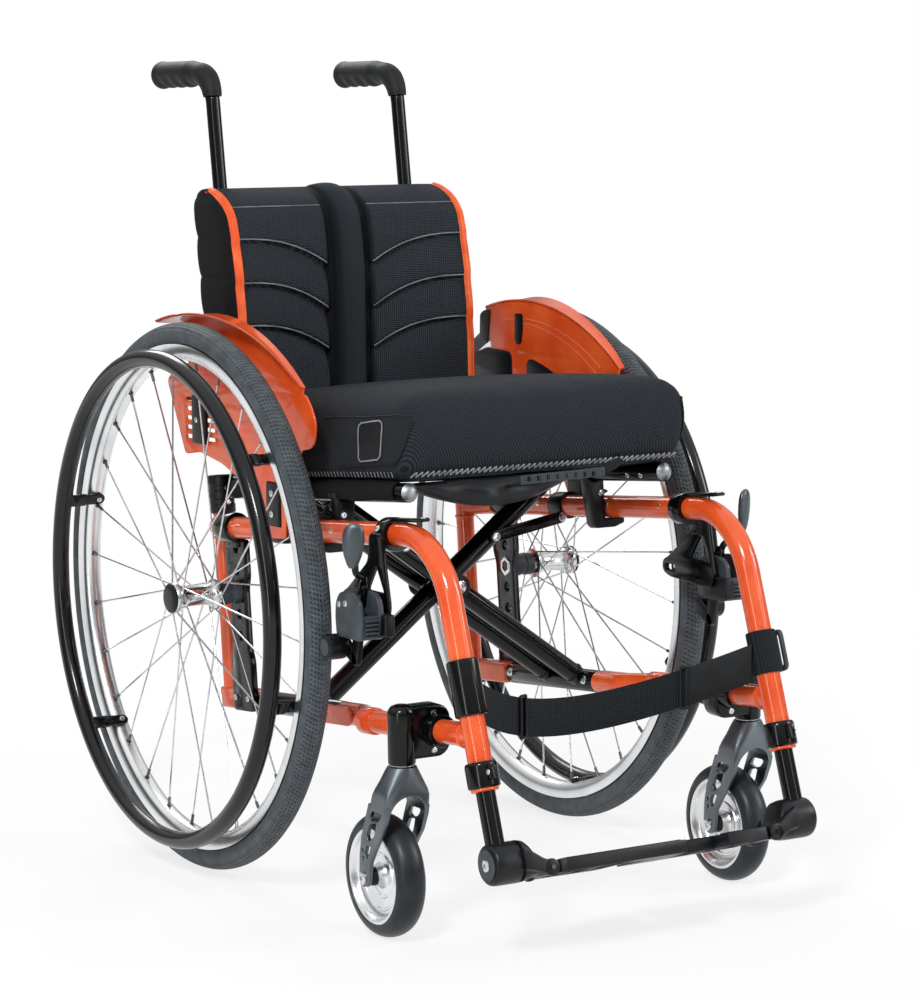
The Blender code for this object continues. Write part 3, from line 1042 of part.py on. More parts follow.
def make_brake(tag, side):
    """Clamp with a triangular plate, body, lever with its paddle, and the shoe on its arm."""
    rail_z = fold(0, BRAKE_CLAMP_Y, RAIL_HEIGHT)
    low, high = BRAKE_CLAMP_Y - BRAKE_CLAMP_LENGTH / 2, BRAKE_CLAMP_Y + BRAKE_CLAMP_LENGTH / 2
    clamp = bar(fold(side * RAIL_X, low, RAIL_HEIGHT), fold(side * RAIL_X, high, RAIL_HEIGHT),
                RAIL_RADIUS + BRAKE_CLAMP_WALL)
    y0, z0 = rail_z.y, rail_z.z
    bridge = box((side * RAIL_X, y0 - BRAKE_CLAMP_LENGTH / 2, z0 - 0.0100),
                 (side * (BRAKE_PLATE_X + BRAKE_PLATE_THICKNESS), y0 + BRAKE_CLAMP_LENGTH / 2, z0 + 0.0030), 0.0015)
    outline = [(y0 - 0.0130, z0 + 0.0020), (y0 - 0.0170, z0 - 0.0270), (y0 - 0.0265, z0 - 0.0690),
               (y0 - 0.0215, z0 - 0.0850), *arc(y0 + 0.0570, z0 - 0.0700, 0.0110, 260, 420, 6),
               (y0 + 0.0150, z0 - 0.0270), (y0 + 0.0110, z0 + 0.0020)]
    triangle = [(y0 - 0.0030, z0 - 0.0330), (y0 + 0.0130, z0 - 0.0560), (y0 - 0.0160, z0 - 0.0560)]
    slot = [(y0 + 0.0460, z0 - 0.0735), (y0 + 0.0580, z0 - 0.0735), (y0 + 0.0580, z0 - 0.0675),
            (y0 + 0.0460, z0 - 0.0675)]
    a, b = side * BRAKE_PLATE_X, side * (BRAKE_PLATE_X + BRAKE_PLATE_THICKNESS)
    plate = prism(outline, min(a, b), max(a, b), "YZ", [triangle, slot])
    top = RAIL_HEIGHT + RAIL_RADIUS + CLEARANCE
    strap = moved(box((side * (RAIL_X - BRAKE_STRAP_WIDTH / 2), high - BRAKE_STRAP_LENGTH, top + 0.0008),
                      (side * (RAIL_X + BRAKE_STRAP_WIDTH / 2), high - 0.0007, top + 0.0008 + BRAKE_STRAP_THICKNESS),
                     0.001), FOLD)
    bracket = cut(joined(plate, bridge, clamp, strap), rail_bore(side, low - 0.05, high + 0.03))
    place(f"brake_bracket_{tag}", bracket, "black lacquer")

    a = side * (BRAKE_PLATE_X + BRAKE_PLATE_THICKNESS + CLEARANCE)
    b = side * BRAKE_OUTER_X
    py, pz = LEVER_PIVOT_Y, LEVER_PIVOT_Z
    outline = [(py + 0.0190, pz - 0.0370), (py + 0.0215, pz - 0.0180), (py + 0.0198, pz - 0.0010),
               (py + 0.0120, pz + 0.0085), (py - 0.0030, pz + 0.0105), (py - 0.0190, pz + 0.0095),
               (py - 0.0290, pz + 0.0030), (py - 0.0320, pz - 0.0160), (py - 0.0300, pz - 0.0350),
               (py - 0.0240, pz - 0.0370)]
    shell = prism(outline, min(side * BRAKE_SHELL_INNER_X, b), max(side * BRAKE_SHELL_INNER_X, b), "YZ")
    block = box((a, py - 0.0400, pz - 0.0330), (side * (BRAKE_SHELL_INNER_X + 0.004), py + 0.0030, pz - 0.0110), 0.002)
    body = joined(shell, block)
    lever_slot = box((side * BRAKE_SLOT_INNER_X, py - 0.05, pz - LEVER_HUB_RADIUS - 0.001),
                     (side * BRAKE_SLOT_OUTER_X, py + LEVER_HUB_RADIUS + 0.003, pz + 0.05))
    shoe_slot = box((side * BRAKE_SLOT_INNER_X, SHOE_PIVOT_Y - SHOE_HUB_RADIUS - 0.004, pz - 0.07),
                    (side * (BRAKE_SLOT_INNER_X + BRAKE_ARM_THICKNESS + 3 * CLEARANCE), py + 0.05,
                     SHOE_PIVOT_Z + SHOE_HUB_RADIUS + 0.001))
    body = cut(body, lever_slot, shoe_slot)
    inside, outside = side * (BRAKE_SLOT_INNER_X - 0.002), side * (BRAKE_SLOT_OUTER_X + 0.002)
    body = joined(body, cross_bar(inside, outside, py, pz, BRAKE_PIN_RADIUS, BOLT_SIDES),
                  cross_bar(inside, outside, SHOE_PIVOT_Y, SHOE_PIVOT_Z, BRAKE_PIN_RADIUS, BOLT_SIDES))
    place(f"brake_body_{tag}", body, "grey casting")

    lever_in = BRAKE_SLOT_INNER_X + CLEARANCE
    arm_out = lever_in + BRAKE_ARM_THICKNESS
    a, b = side * lever_in, side * arm_out
    lever = prism(capsule((py, pz), (py - 0.0075, pz + 0.0180), LEVER_HUB_RADIUS, 0.0045), min(a, b), max(a, b),
                  "YZ")
    lever = joined(lever, cross_bar(a, side * (BRAKE_SLOT_OUTER_X - CLEARANCE), py, pz, LEVER_HUB_RADIUS,
                                    TUBE_SIDES))
    lever = cut(lever, cross_bar(side * (lever_in - 0.01), side * (BRAKE_SLOT_OUTER_X + 0.01), py, pz,
                                 bore_radius(BRAKE_PIN_RADIUS, BOLT_SIDES), BOLT_SIDES))
    rod_x = (lever_in + arm_out) / 2
    rod = tube([Vector((side * rod_x, py - 0.0065, pz + 0.0150)), Vector((side * (rod_x + 0.002), py - 0.012, pz + 0.022)),
                Vector((side * (PADDLE_X - 0.006), PADDLE_Y + 0.003, pz + 0.029)),
                Vector((side * PADDLE_X, PADDLE_Y, PADDLE_LOW + 0.006))], LEVER_ROD_RADIUS, 8)
    lever = joined(lever, rod)
    sections = []
    for share, size in ((0.0, 0.55), (0.12, 0.8), (0.35, 1.0), (0.70, 1.0), (0.90, 0.8), (1.0, 0.45)):
        z = PADDLE_LOW + (PADDLE_HIGH - PADDLE_LOW) * share
        sections.append(ring_of(side * PADDLE_X, PADDLE_Y, z, PADDLE_HALF_WIDTH * size,
                                PADDLE_HALF_THICKNESS * size, 2.4, BOLT_SIDES))
    lever = joined(lever, loft(sections))
    place(f"brake_lever_{tag}", lever, "black plastic", (side * rod_x, py, pz))

    a, b = side * lever_in, side * arm_out
    arm = prism(capsule((SHOE_PIVOT_Y, SHOE_PIVOT_Z), (SHOE_ARM_LOW_Y, SHOE_ARM_LOW_Z), SHOE_HUB_RADIUS, 0.0060),
                min(a, b), max(a, b), "YZ",
                [circle(SHOE_PIVOT_Y, SHOE_PIVOT_Z, bore_radius(BRAKE_PIN_RADIUS, BOLT_SIDES))])
    foot = prism(capsule((SHOE_ARM_LOW_Y, SHOE_ARM_LOW_Z), (SHOE_Y, SHOE_Z), 0.0060, 0.0080), min(a, b), max(a, b),
                 "YZ")
    pad = cross_bar(side * (SHOE_INNER_X - 0.001), side * SHOE_OUTER_X, SHOE_Y, SHOE_Z, SHOE_RADIUS)
    place(f"brake_shoe_{tag}", joined(arm, foot, pad), "black plastic", (side * rod_x, SHOE_PIVOT_Y, SHOE_PIVOT_Z))


def between(table, value):
    """Straight-line reading of a table of pairs in rising order."""
    for (x0, *first), (x1, *second) in zip(table, table[1:]):
        if value <= x1 or (x1, *second) == table[-1]:
            share = (value - x0) / (x1 - x0)
            return [a + (b - a) * share for a, b in zip(first, second)]


def fender_point(angle, lift=0.0):
    """Point of the fender's inner face, by its angle forward of straight up."""
    share = max(angle, 0.0) / FENDER_FRONT_ANGLE
    radius = FENDER_RADIUS + FENDER_FLARE * share ** 2 + lift
    return -radius * math.sin(angle), WHEEL_RADIUS + radius * math.cos(angle)


def make_side_guard(tag, side):
    """Guard panel with its tapering fender, the holder that carries it on the rail, and the slotted clip."""
    steps = 10
    angles = [FENDER_REAR_ANGLE + (FENDER_FRONT_ANGLE - FENDER_REAR_ANGLE) * i / steps for i in range(steps + 1)]
    edge = [(y * WHEEL_RADIUS, (1 + z) * WHEEL_RADIUS) for y, z in GUARD_EDGE]
    outline = [fender_point(angle, GUARD_THICKNESS / 2) for angle in angles] + edge
    a, b = side * (GUARD_X - GUARD_THICKNESS / 2), side * (GUARD_X + GUARD_THICKNESS / 2)
    holes = []
    for i in range(GUARD_SLOTS):
        z = GUARD_SLOT_Z + i * GUARD_SLOT_SPACING
        holes.append([(GUARD_SLOT_Y - GUARD_SLOT_LENGTH, z), (GUARD_SLOT_Y, z),
                      (GUARD_SLOT_Y, z + GUARD_SLOT_HEIGHT), (GUARD_SLOT_Y - GUARD_SLOT_LENGTH, z + GUARD_SLOT_HEIGHT)])
    rail = fold(side * RAIL_X, (HOLDER_FRONT_Y + HOLDER_REAR_Y) / 2, RAIL_HEIGHT)
    window_low, holder_top = rail.z + 0.0070, rail.z + HOLDER_HEIGHT
    gap = 2 * CLEARANCE
    holes.append([(HOLDER_FRONT_Y - gap, window_low), (HOLDER_REAR_Y + gap, window_low),
                  (HOLDER_REAR_Y + gap, holder_top + gap), (HOLDER_FRONT_Y - gap, holder_top + gap)])
    panel = prism(outline, min(a, b), max(a, b), "YZ", holes)
    rings = []
    for angle in angles:
        width, = between(FENDER_WIDTHS, math.degrees(angle))
        low, high = fender_point(angle), fender_point(angle, GUARD_THICKNESS)
        rings.append([Vector((side * x, y, z)) for x, (y, z) in
                      ((GUARD_X - GUARD_THICKNESS / 2, low), (GUARD_X + width, low), (GUARD_X + width, high),
                       (GUARD_X - GUARD_THICKNESS / 2, high))])
    place(f"side_guard_{tag}", joined(panel, loft(rings)), "orange lacquer")

    holder = joined(box((side * (RAIL_X + 0.002), HOLDER_FRONT_Y, rail.z - 0.0110),
                        (side * (GUARD_X - GUARD_THICKNESS / 2 - CLEARANCE), HOLDER_REAR_Y, holder_top - 0.004), 0.0015),
                    box((side * (GUARD_X - 0.004), HOLDER_FRONT_Y + 0.0005, window_low + 0.001),
                        (side * HOLDER_OUTER_X, HOLDER_REAR_Y - 0.0005, holder_top), 0.001))
    cutter = rail_bore(side, HOLDER_FRONT_Y - 0.06, HOLDER_REAR_Y + 0.03)
    place(f"guard_holder_{tag}", cut(holder, cutter), "black plastic")

    inner = GUARD_X + GUARD_THICKNESS / 2 + CLEARANCE
    clip = box((side * inner, CLIP_REAR_Y - CLIP_WIDTH, GUARD_SLOT_Z - 0.004),
               (side * (inner + CLIP_THICKNESS), CLIP_REAR_Y, GUARD_SLOT_Z - 0.004 + CLIP_HEIGHT), 0.002)
    place(f"guard_clip_{tag}", clip, "black plastic")


def make_sling():
    """Sheet from seat tube to seat tube, with a hem round each."""
    gap = bore_radius(SEAT_TUBE_RADIUS, ROUND_SIDES) + 0.0001
    skin = gap + SLING_THICKNESS
    right_out = arc(-SEAT_TUBE_X, SEAT_TUBE_HEIGHT, skin, 215, 90, 6)
    left_out = arc(SEAT_TUBE_X, SEAT_TUBE_HEIGHT, skin, 90, -35, 6)
    left_in = arc(SEAT_TUBE_X, SEAT_TUBE_HEIGHT, gap, -35, 100, 7)
    right_in = arc(-SEAT_TUBE_X, SEAT_TUBE_HEIGHT, gap, 80, 215, 7)
    low = SEAT_TUBE_HEIGHT + gap - SLING_SAG
    sag = [(-0.08, low + 0.1 * SLING_SAG), (0.0, low), (0.08, low + 0.1 * SLING_SAG)]
    outline = right_out + [(x, z + SLING_THICKNESS) for x, z in sag] + left_out + left_in + sag[::-1] + right_in
    sling = prism(outline, SLING_FRONT_Y, SLING_REAR_Y, "XZ")
    reach = SADDLE_LENGTH / 2 + 2 * CLEARANCE
    for _, side in SIDES:
        # The hem is notched where the tube lies in its saddle.
        sling = cut(sling, box((side * (SEAT_TUBE_X - 0.0170), SADDLE_Y - reach, SEAT_TUBE_HEIGHT - 0.02),
                               (side * (SEAT_TUBE_X + 0.0170), SADDLE_Y + reach, SEAT_TUBE_HEIGHT + CLEARANCE)))
    moved(sling, FOLD)
    place("seat_sling", sling, "black fabric", fold(SEAT_TUBE_X, 0, SEAT_TUBE_HEIGHT))


def make_cushion():
    """Block cushion with square corners, a crown and a front that swells out over the rail ends."""
    hem_top = SEAT_TUBE_HEIGHT + bore_radius(SEAT_TUBE_RADIUS, ROUND_SIDES) + SLING_THICKNESS + 2 * CLEARANCE
    length = CUSHION_REAR_Y - CUSHION_FRONT_Y
    waist = 0.004
    # Share of the height, half width and how far the front and rear draw in; the underside follows the sling's sag.
    soft = 0.45 * CUSHION_CORNER
    levels = [(-SLING_SAG / CUSHION_THICKNESS, 0.45 * SEAT_TUBE_X, soft + 0.002),
              (0.0, SEAT_TUBE_X - 0.010, soft + 0.001)]
    for share, drawn in ((0.004, 1.0), (0.04, 0.25), (0.12, 0.02), (0.5, 0.0), (0.88, 0.02), (0.96, 0.25), (1.0, 1.0)):
        levels.append((share, CUSHION_HALF_WIDTH - soft * drawn, soft * drawn))
    sections = []
    for share, half, inset in levels:
        # The front swells most a little above its middle, and the sides pull in a little between the corners.
        swell = CUSHION_BULGE * max(math.sin(math.pi * max(share, 0.0) / 1.3), 0.0) ** 0.8
        front, rear = inset - swell, length - inset
        ring = []
        for x, y, start in ((half, front, -90), (half, rear, 0), (-half, rear, 90), (-half, front, 180)):
            cx, cy = x - math.copysign(CUSHION_CORNER, x), y + CUSHION_CORNER * (1 if start in (-90, 180) else -1)
            ring += arc(cx, cy, CUSHION_CORNER, start, start + 90, 2)
            if start == -90:
                ring.append((half - waist, length / 2))
            if start == 90:
                ring.append((waist - half, length / 2))
        z = hem_top + CUSHION_THICKNESS * share
        crown = CUSHION_CROWN if share == 1.0 else 0.0
        sections.append([fold(x, CUSHION_FRONT_Y + y, z + crown * (1 - (x / half) ** 2)) for x, y in ring])
    place("seat_cushion", loft(sections), "black fabric", fold(SEAT_TUBE_X, 0, SEAT_TUBE_HEIGHT))


def back_front(x, z):
    """The back's front face: dished between its side edges, with a proud spine and sewn channels."""
    edge, middle = between(BACK_PROFILE, z)
    reach = abs(x)
    if reach <= BACK_SPINE_X:
        return middle - BACK_SPINE_PROUD
    if reach < BACK_PANEL_X:
        return middle + 0.006
    y = middle + (edge - middle) * (min(reach, BACK_EDGE_X) / BACK_EDGE_X) ** 2
    share = (reach - BACK_PANEL_X) / (BACK_EDGE_X - BACK_PANEL_X)
    for height in (0.044, 0.093, 0.142):
        line = BACK_LOW + height + 0.033 * math.sin(math.pi / 2 * min(share * 1.1, 1.0))
        y += BACK_SEAM_DEPTH * math.exp(-((z - line) / 0.0080) ** 2)
    return y


def make_back_upholstery():
    """Padded back between the canes, with a spine, sewn channels and deep wings beside the canes."""
    cane_gap = bore_radius(CANE_RADIUS) + CLEARANCE
    wing_x = CANE_X + cane_gap
    columns = [0.0, BACK_SPINE_X, BACK_SPINE_X + 0.006, BACK_PANEL_X, 0.060, 0.100, BACK_EDGE_X - 0.006]
    levels = 11
    sections = []
    for k in range(levels + 1):
        share = k / levels
        z = BACK_LOW + (BACK_HIGH - BACK_LOW) * share
        end = min(share, 1 - share) * levels
        inset = 0.0075 if end < 0.5 else (0.0022 if end < 1.5 else 0.0)
        cane = CANE_Y + (z - CANE_Z) * math.tan(CANE_LEAN)
        behind = cane - cane_gap - inset * 0.5
        wing = cane + 0.012 - inset
        outer = BACK_HALF_WIDTH - inset
        rim = back_front(BACK_EDGE_X, z) + inset
        half = [(x, back_front(x, z) + inset) for x in columns]
        half += [(BACK_EDGE_X - inset / 2, rim), (outer - 0.007, rim + 0.009), (outer, rim + 0.026), (outer, wing - 0.010),
                 (outer - 0.008, wing), (wing_x, wing), (wing_x, behind), (0.050, behind), (0.0, behind)]
        ring = [Vector((x, y, z)) for x, y in half]
        ring += [Vector((-x, y, z)) for x, y in half[-2:0:-1]]
        sections.append(ring)
    place("back_upholstery", loft(sections), "black fabric")


def make_calf_strap():
    """Webbing that hangs in a shallow bow between the leg sleeves."""
    steps = 12
    sections = []
    for i in range(steps + 1):
        share = i / steps
        u = 2 * share - 1
        x = u * STRAP_END_X
        y = STRAP_MID_Y + (STRAP_END_Y - STRAP_MID_Y) * u * u
        slope = 2 * (STRAP_END_Y - STRAP_MID_Y) * u / STRAP_END_X
        normal = Vector((-slope, 1.0, 0.0)).normalized() * STRAP_THICKNESS / 2
        z = STRAP_RIGHT_Z + (STRAP_LEFT_Z - STRAP_RIGHT_Z) * share - STRAP_SAG * (1 - u * u)
        centre = Vector((x, y, z))
        up = Vector((0, 0, STRAP_HEIGHT / 2))
        sections.append([centre - normal - up, centre + normal - up, centre + normal + up, centre - normal + up])
    place("calf_strap", loft(sections), "black fabric")


for old in list(bpy.data.objects):
    bpy.data.objects.remove(old, do_unlink=True)

chair_parts = bpy.data.collections.new("folding_wheelchair")
bpy.context.scene.collection.children.link(chair_parts)
chair = bpy.data.objects.new("chair", None)
chair_parts.objects.link(chair)
chair.location = (0.0, AXLE_Y, 0.0)

for tag, side in SIDES:
    make_side_frame(tag, side)
    make_stay_link(tag, side)
    make_axle_plate(tag, side)
    make_seat_saddle(tag, side)
    make_back(tag, side)
    make_footrest(tag, side)
    make_castor(tag, side)
    make_rear_wheel(tag, side)
    make_brake(tag, side)
    make_side_guard(tag, side)
make_cross_arm("cross_arm_a", 1, [ARM_A_Y], ARM_A_RADIUS)
make_cross_arm("cross_arm_b", -1, [ARM_A_Y - ARM_B_SPREAD, ARM_A_Y + ARM_B_SPREAD], ARM_B_RADIUS)
make_centre_bolt()
make_sling()
make_cushion()
make_back_upholstery()
make_calf_strap()
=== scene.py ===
"""Looks of the folding active wheelchair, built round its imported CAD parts.

Lengths are metres. Every piece is made in chair coordinates, with y = 0 at the rear axle, and moved to
the CAD's own frame as it is finished. The user's right side is -X and the left side is +X.
"""
import json
import math

import bpy
from mathutils import Matrix, Quaternion, Vector

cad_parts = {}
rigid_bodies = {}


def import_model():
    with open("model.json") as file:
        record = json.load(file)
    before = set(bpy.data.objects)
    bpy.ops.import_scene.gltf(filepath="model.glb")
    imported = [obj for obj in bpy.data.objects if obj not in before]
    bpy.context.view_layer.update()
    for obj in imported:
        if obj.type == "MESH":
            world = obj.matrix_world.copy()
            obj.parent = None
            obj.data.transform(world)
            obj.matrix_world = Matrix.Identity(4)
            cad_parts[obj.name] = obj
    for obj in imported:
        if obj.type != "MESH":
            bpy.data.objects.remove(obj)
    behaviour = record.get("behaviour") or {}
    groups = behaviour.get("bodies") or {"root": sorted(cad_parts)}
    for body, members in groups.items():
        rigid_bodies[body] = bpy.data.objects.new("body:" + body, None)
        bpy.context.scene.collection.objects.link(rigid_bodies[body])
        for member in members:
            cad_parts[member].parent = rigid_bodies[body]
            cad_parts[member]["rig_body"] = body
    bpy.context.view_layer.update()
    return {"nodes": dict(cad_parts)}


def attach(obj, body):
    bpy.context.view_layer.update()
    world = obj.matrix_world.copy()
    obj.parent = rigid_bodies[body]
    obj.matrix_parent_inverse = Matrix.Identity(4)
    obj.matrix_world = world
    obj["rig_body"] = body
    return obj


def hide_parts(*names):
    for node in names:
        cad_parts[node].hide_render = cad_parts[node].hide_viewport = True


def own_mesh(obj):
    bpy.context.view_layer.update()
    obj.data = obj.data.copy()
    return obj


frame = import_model()

AXLE_Y = 0.135639
CHAIR = Matrix.Translation((0.0, AXLE_Y, 0.0))
SIDES = (("r", -1), ("l", 1))
BODY = {"r": "side_right", "l": "side_left"}

PITCH = math.radians(5.0)
PIVOT_Z = 0.1759
FOLD = Matrix.Translation((0.0, 0.0, PIVOT_Z)) @ Matrix.Rotation(-PITCH, 4, "X")
WHEEL_X, WHEEL_Z = 0.2313, 0.2975
RAIL_X, RAIL_H, RAIL_R = 0.1780, 0.1920, 0.0120
SEAT_X, SEAT_H, SEAT_R = 0.1550, 0.2317, 0.0100
CORNER_Y = -0.4531
LEG_ANGLE = math.radians(18.8)
LEG_R = 0.0122
HUB_DOWN = 0.3222
CASTOR_X, CASTOR_Y = 0.2100, -0.4118
CANE_X, CANE_Y, CANE_Z = 0.1200, 0.0925, 0.4200
CANE_LEAN = math.radians(8.0)


def fold(x, y, height):
    """Chair coordinates of a point in the pitched frame of the rails and the seat."""
    return FOLD @ Vector((x, y, height))


def down_leg(side, distance):
    """Matrix on the leg's axis, this far below its upper corner, with Z up the leg."""
    corner = fold(side * RAIL_X, CORNER_Y, RAIL_H)
    down = Vector((0.0, -math.sin(LEG_ANGLE), -math.cos(LEG_ANGLE)))
    return Matrix.Translation(corner + down * distance) @ Matrix.Rotation(-LEG_ANGLE, 4, "X")


def up_cane(side, along):
    return Vector((side * CANE_X, CANE_Y + along * math.sin(CANE_LEAN), CANE_Z + along * math.cos(CANE_LEAN)))


# Materials

def linear(hex_colour):
    channels = [int(hex_colour[i:i + 2], 16) / 255 for i in (0, 2, 4)]
    return (*[c / 12.92 if c <= 0.04045 else ((c + 0.055) / 1.055) ** 2.4 for c in channels], 1.0)


def add(tree, kind, inputs=None, **settings):
    """Adds a node with its settings, values and links."""
    made = tree.nodes.new(kind)
    for name, value in settings.items():
        setattr(made, name, value)
    for socket, value in (inputs or {}).items():
        if isinstance(value, bpy.types.NodeSocket):
            tree.links.new(value, made.inputs[socket])
        else:
            made.inputs[socket].default_value = value
    return made


def new_material(name, hex_colour, **sockets):
    material = bpy.data.materials.new(name)
    material.use_nodes = True
    tree = material.node_tree
    shader = tree.nodes["Principled BSDF"]
    shader.inputs["Base Color"].default_value = linear(hex_colour)
    for socket, value in sockets.items():
        shader.inputs[socket.replace("_", " ")].default_value = value
    material.diffuse_color = linear(hex_colour)
    return material, tree, shader


def bump(tree, shader, height, strength, depth):
    made = add(tree, "ShaderNodeBump", {"Height": height, "Strength": strength, "Distance": depth})
    tree.links.new(made.outputs["Normal"], shader.inputs["Normal"])
    return made


def place_of(tree):
    return add(tree, "ShaderNodeTexCoord").outputs["Object"]


def noise(tree, size_mm, detail=2.0, where=None):
    """Noise whose features are about this many millimetres across."""
    return add(tree, "ShaderNodeTexNoise", {"Vector": where or place_of(tree), "Scale": 1000.0 / size_mm,
                                            "Detail": detail}).outputs["Fac"]


def two_tones(tree, factor, dark, light, low=0.35, high=0.65):
    ramp = add(tree, "ShaderNodeValToRGB", {"Fac": factor})
    ramp.color_ramp.elements[0].position = low
    ramp.color_ramp.elements[0].color = linear(dark)
    ramp.color_ramp.elements[1].position = high
    ramp.color_ramp.elements[1].color = linear(light)
    return ramp.outputs["Color"]


def powder_coat(name, dark, light, shine):
    """Gloss powder coat on tube: a faint orange peel of about 1.5 mm under a hard clear shine."""
    material, tree, shader = new_material(name, light, Roughness=0.15, Specular_IOR_Level=shine)
    tree.links.new(two_tones(tree, noise(tree, 45.0), dark, light), shader.inputs["Base Color"])
    bump(tree, shader, noise(tree, 1.6), 0.05, 0.0004)
    return material


def moulded(name, dark, light, roughness, grain_mm=0.8, strength=0.25):
    """Injection moulded nylon or ABS: spark-eroded grain, drawn a little coarse so that it shows."""
    material, tree, shader = new_material(name, light, Roughness=roughness, Specular_IOR_Level=0.3)
    tree.links.new(two_tones(tree, noise(tree, 25.0), dark, light), shader.inputs["Base Color"])
    bump(tree, shader, noise(tree, grain_mm), strength, 0.0002)
    return material


def bare_metal(name, dark, light, roughness, scratch_mm=6.0):
    """Polished or drawn metal with faint wipe marks that break up its reflections."""
    material, tree, shader = new_material(name, light, Roughness=roughness, Metallic=1.0)
    tree.links.new(two_tones(tree, noise(tree, scratch_mm, 3.0), dark, light), shader.inputs["Base Color"])
    bump(tree, shader, noise(tree, 0.7), 0.02, 0.0001)
    return material


def round_axle(tree, x, y, z):
    """Distance from a wheel's axle, angle round it and distance along it, from object coordinates."""
    spot = add(tree, "ShaderNodeMapping", {"Vector": place_of(tree), "Location": (-x, -y, -z)}).outputs["Vector"]
    part = add(tree, "ShaderNodeSeparateXYZ", {"Vector": spot}).outputs
    angle = add(tree, "ShaderNodeMath", {0: part["Z"], 1: part["Y"]}, operation="ARCTAN2").outputs["Value"]
    flat = add(tree, "ShaderNodeCombineXYZ", {"Y": part["Y"], "Z": part["Z"]}).outputs["Vector"]
    radius = add(tree, "ShaderNodeVectorMath", {0: flat}, operation="LENGTH").outputs["Value"]
    across = add(tree, "ShaderNodeMath", {0: part["X"]}, operation="ABSOLUTE").outputs["Value"]
    return radius, angle, across


def tyre_rubber(name, side):
    """Vulcanised rubber: a smooth side wall with moulding rings, and small angled lugs over the shoulders."""
    material, tree, shader = new_material(name, "4C5459", Roughness=0.6, Specular_IOR_Level=0.4)
    radius, angle, across = round_axle(tree, side * WHEEL_X, AXLE_Y, WHEEL_Z)
    slant = add(tree, "ShaderNodeMath", {0: across, 1: 520.0, 2: 0.0}, operation="MULTIPLY_ADD").outputs["Value"]
    # Lugs about 5 mm apart round a tyre of 1.87 m.
    turns = add(tree, "ShaderNodeMath", {0: angle, 1: 370.0, 2: slant}, operation="MULTIPLY_ADD").outputs["Value"]
    wave = add(tree, "ShaderNodeMath", {0: turns}, operation="SINE").outputs["Value"]
    rows = add(tree, "ShaderNodeMath", {0: across, 1: 2100.0}, operation="MULTIPLY").outputs["Value"]
    row_wave = add(tree, "ShaderNodeMath", {0: rows}, operation="SINE").outputs["Value"]
    lugs = add(tree, "ShaderNodeMath", {0: wave, 1: row_wave}, operation="MAXIMUM").outputs["Value"]
    on_tread = add(tree, "ShaderNodeMapRange", {"Value": radius, "From Min": 0.2880, "From Max": 0.2900}).outputs[
        "Result"]
    tread = add(tree, "ShaderNodeMath", {0: lugs, 1: on_tread}, operation="MULTIPLY").outputs["Value"]
    bump(tree, shader, tread, 0.9, 0.0012)
    worn = two_tones(tree, noise(tree, 12.0, 4.0), "434A4F", "545C62")
    # Painted shade: the colour is multiplied down to 0.35 in the grooves between the lugs.
    groove = add(tree, "ShaderNodeMapRange", {"Value": tread, "From Min": -0.9, "From Max": 0.1,
                                              "To Min": 0.35, "To Max": 1.0}).outputs["Result"]
    shade = add(tree, "ShaderNodeMix", {"Factor": 1.0, 6: worn, 7: groove}, data_type="RGBA",
                blend_type="MULTIPLY")
    tree.links.new(shade.outputs[2], shader.inputs["Base Color"])
    return material


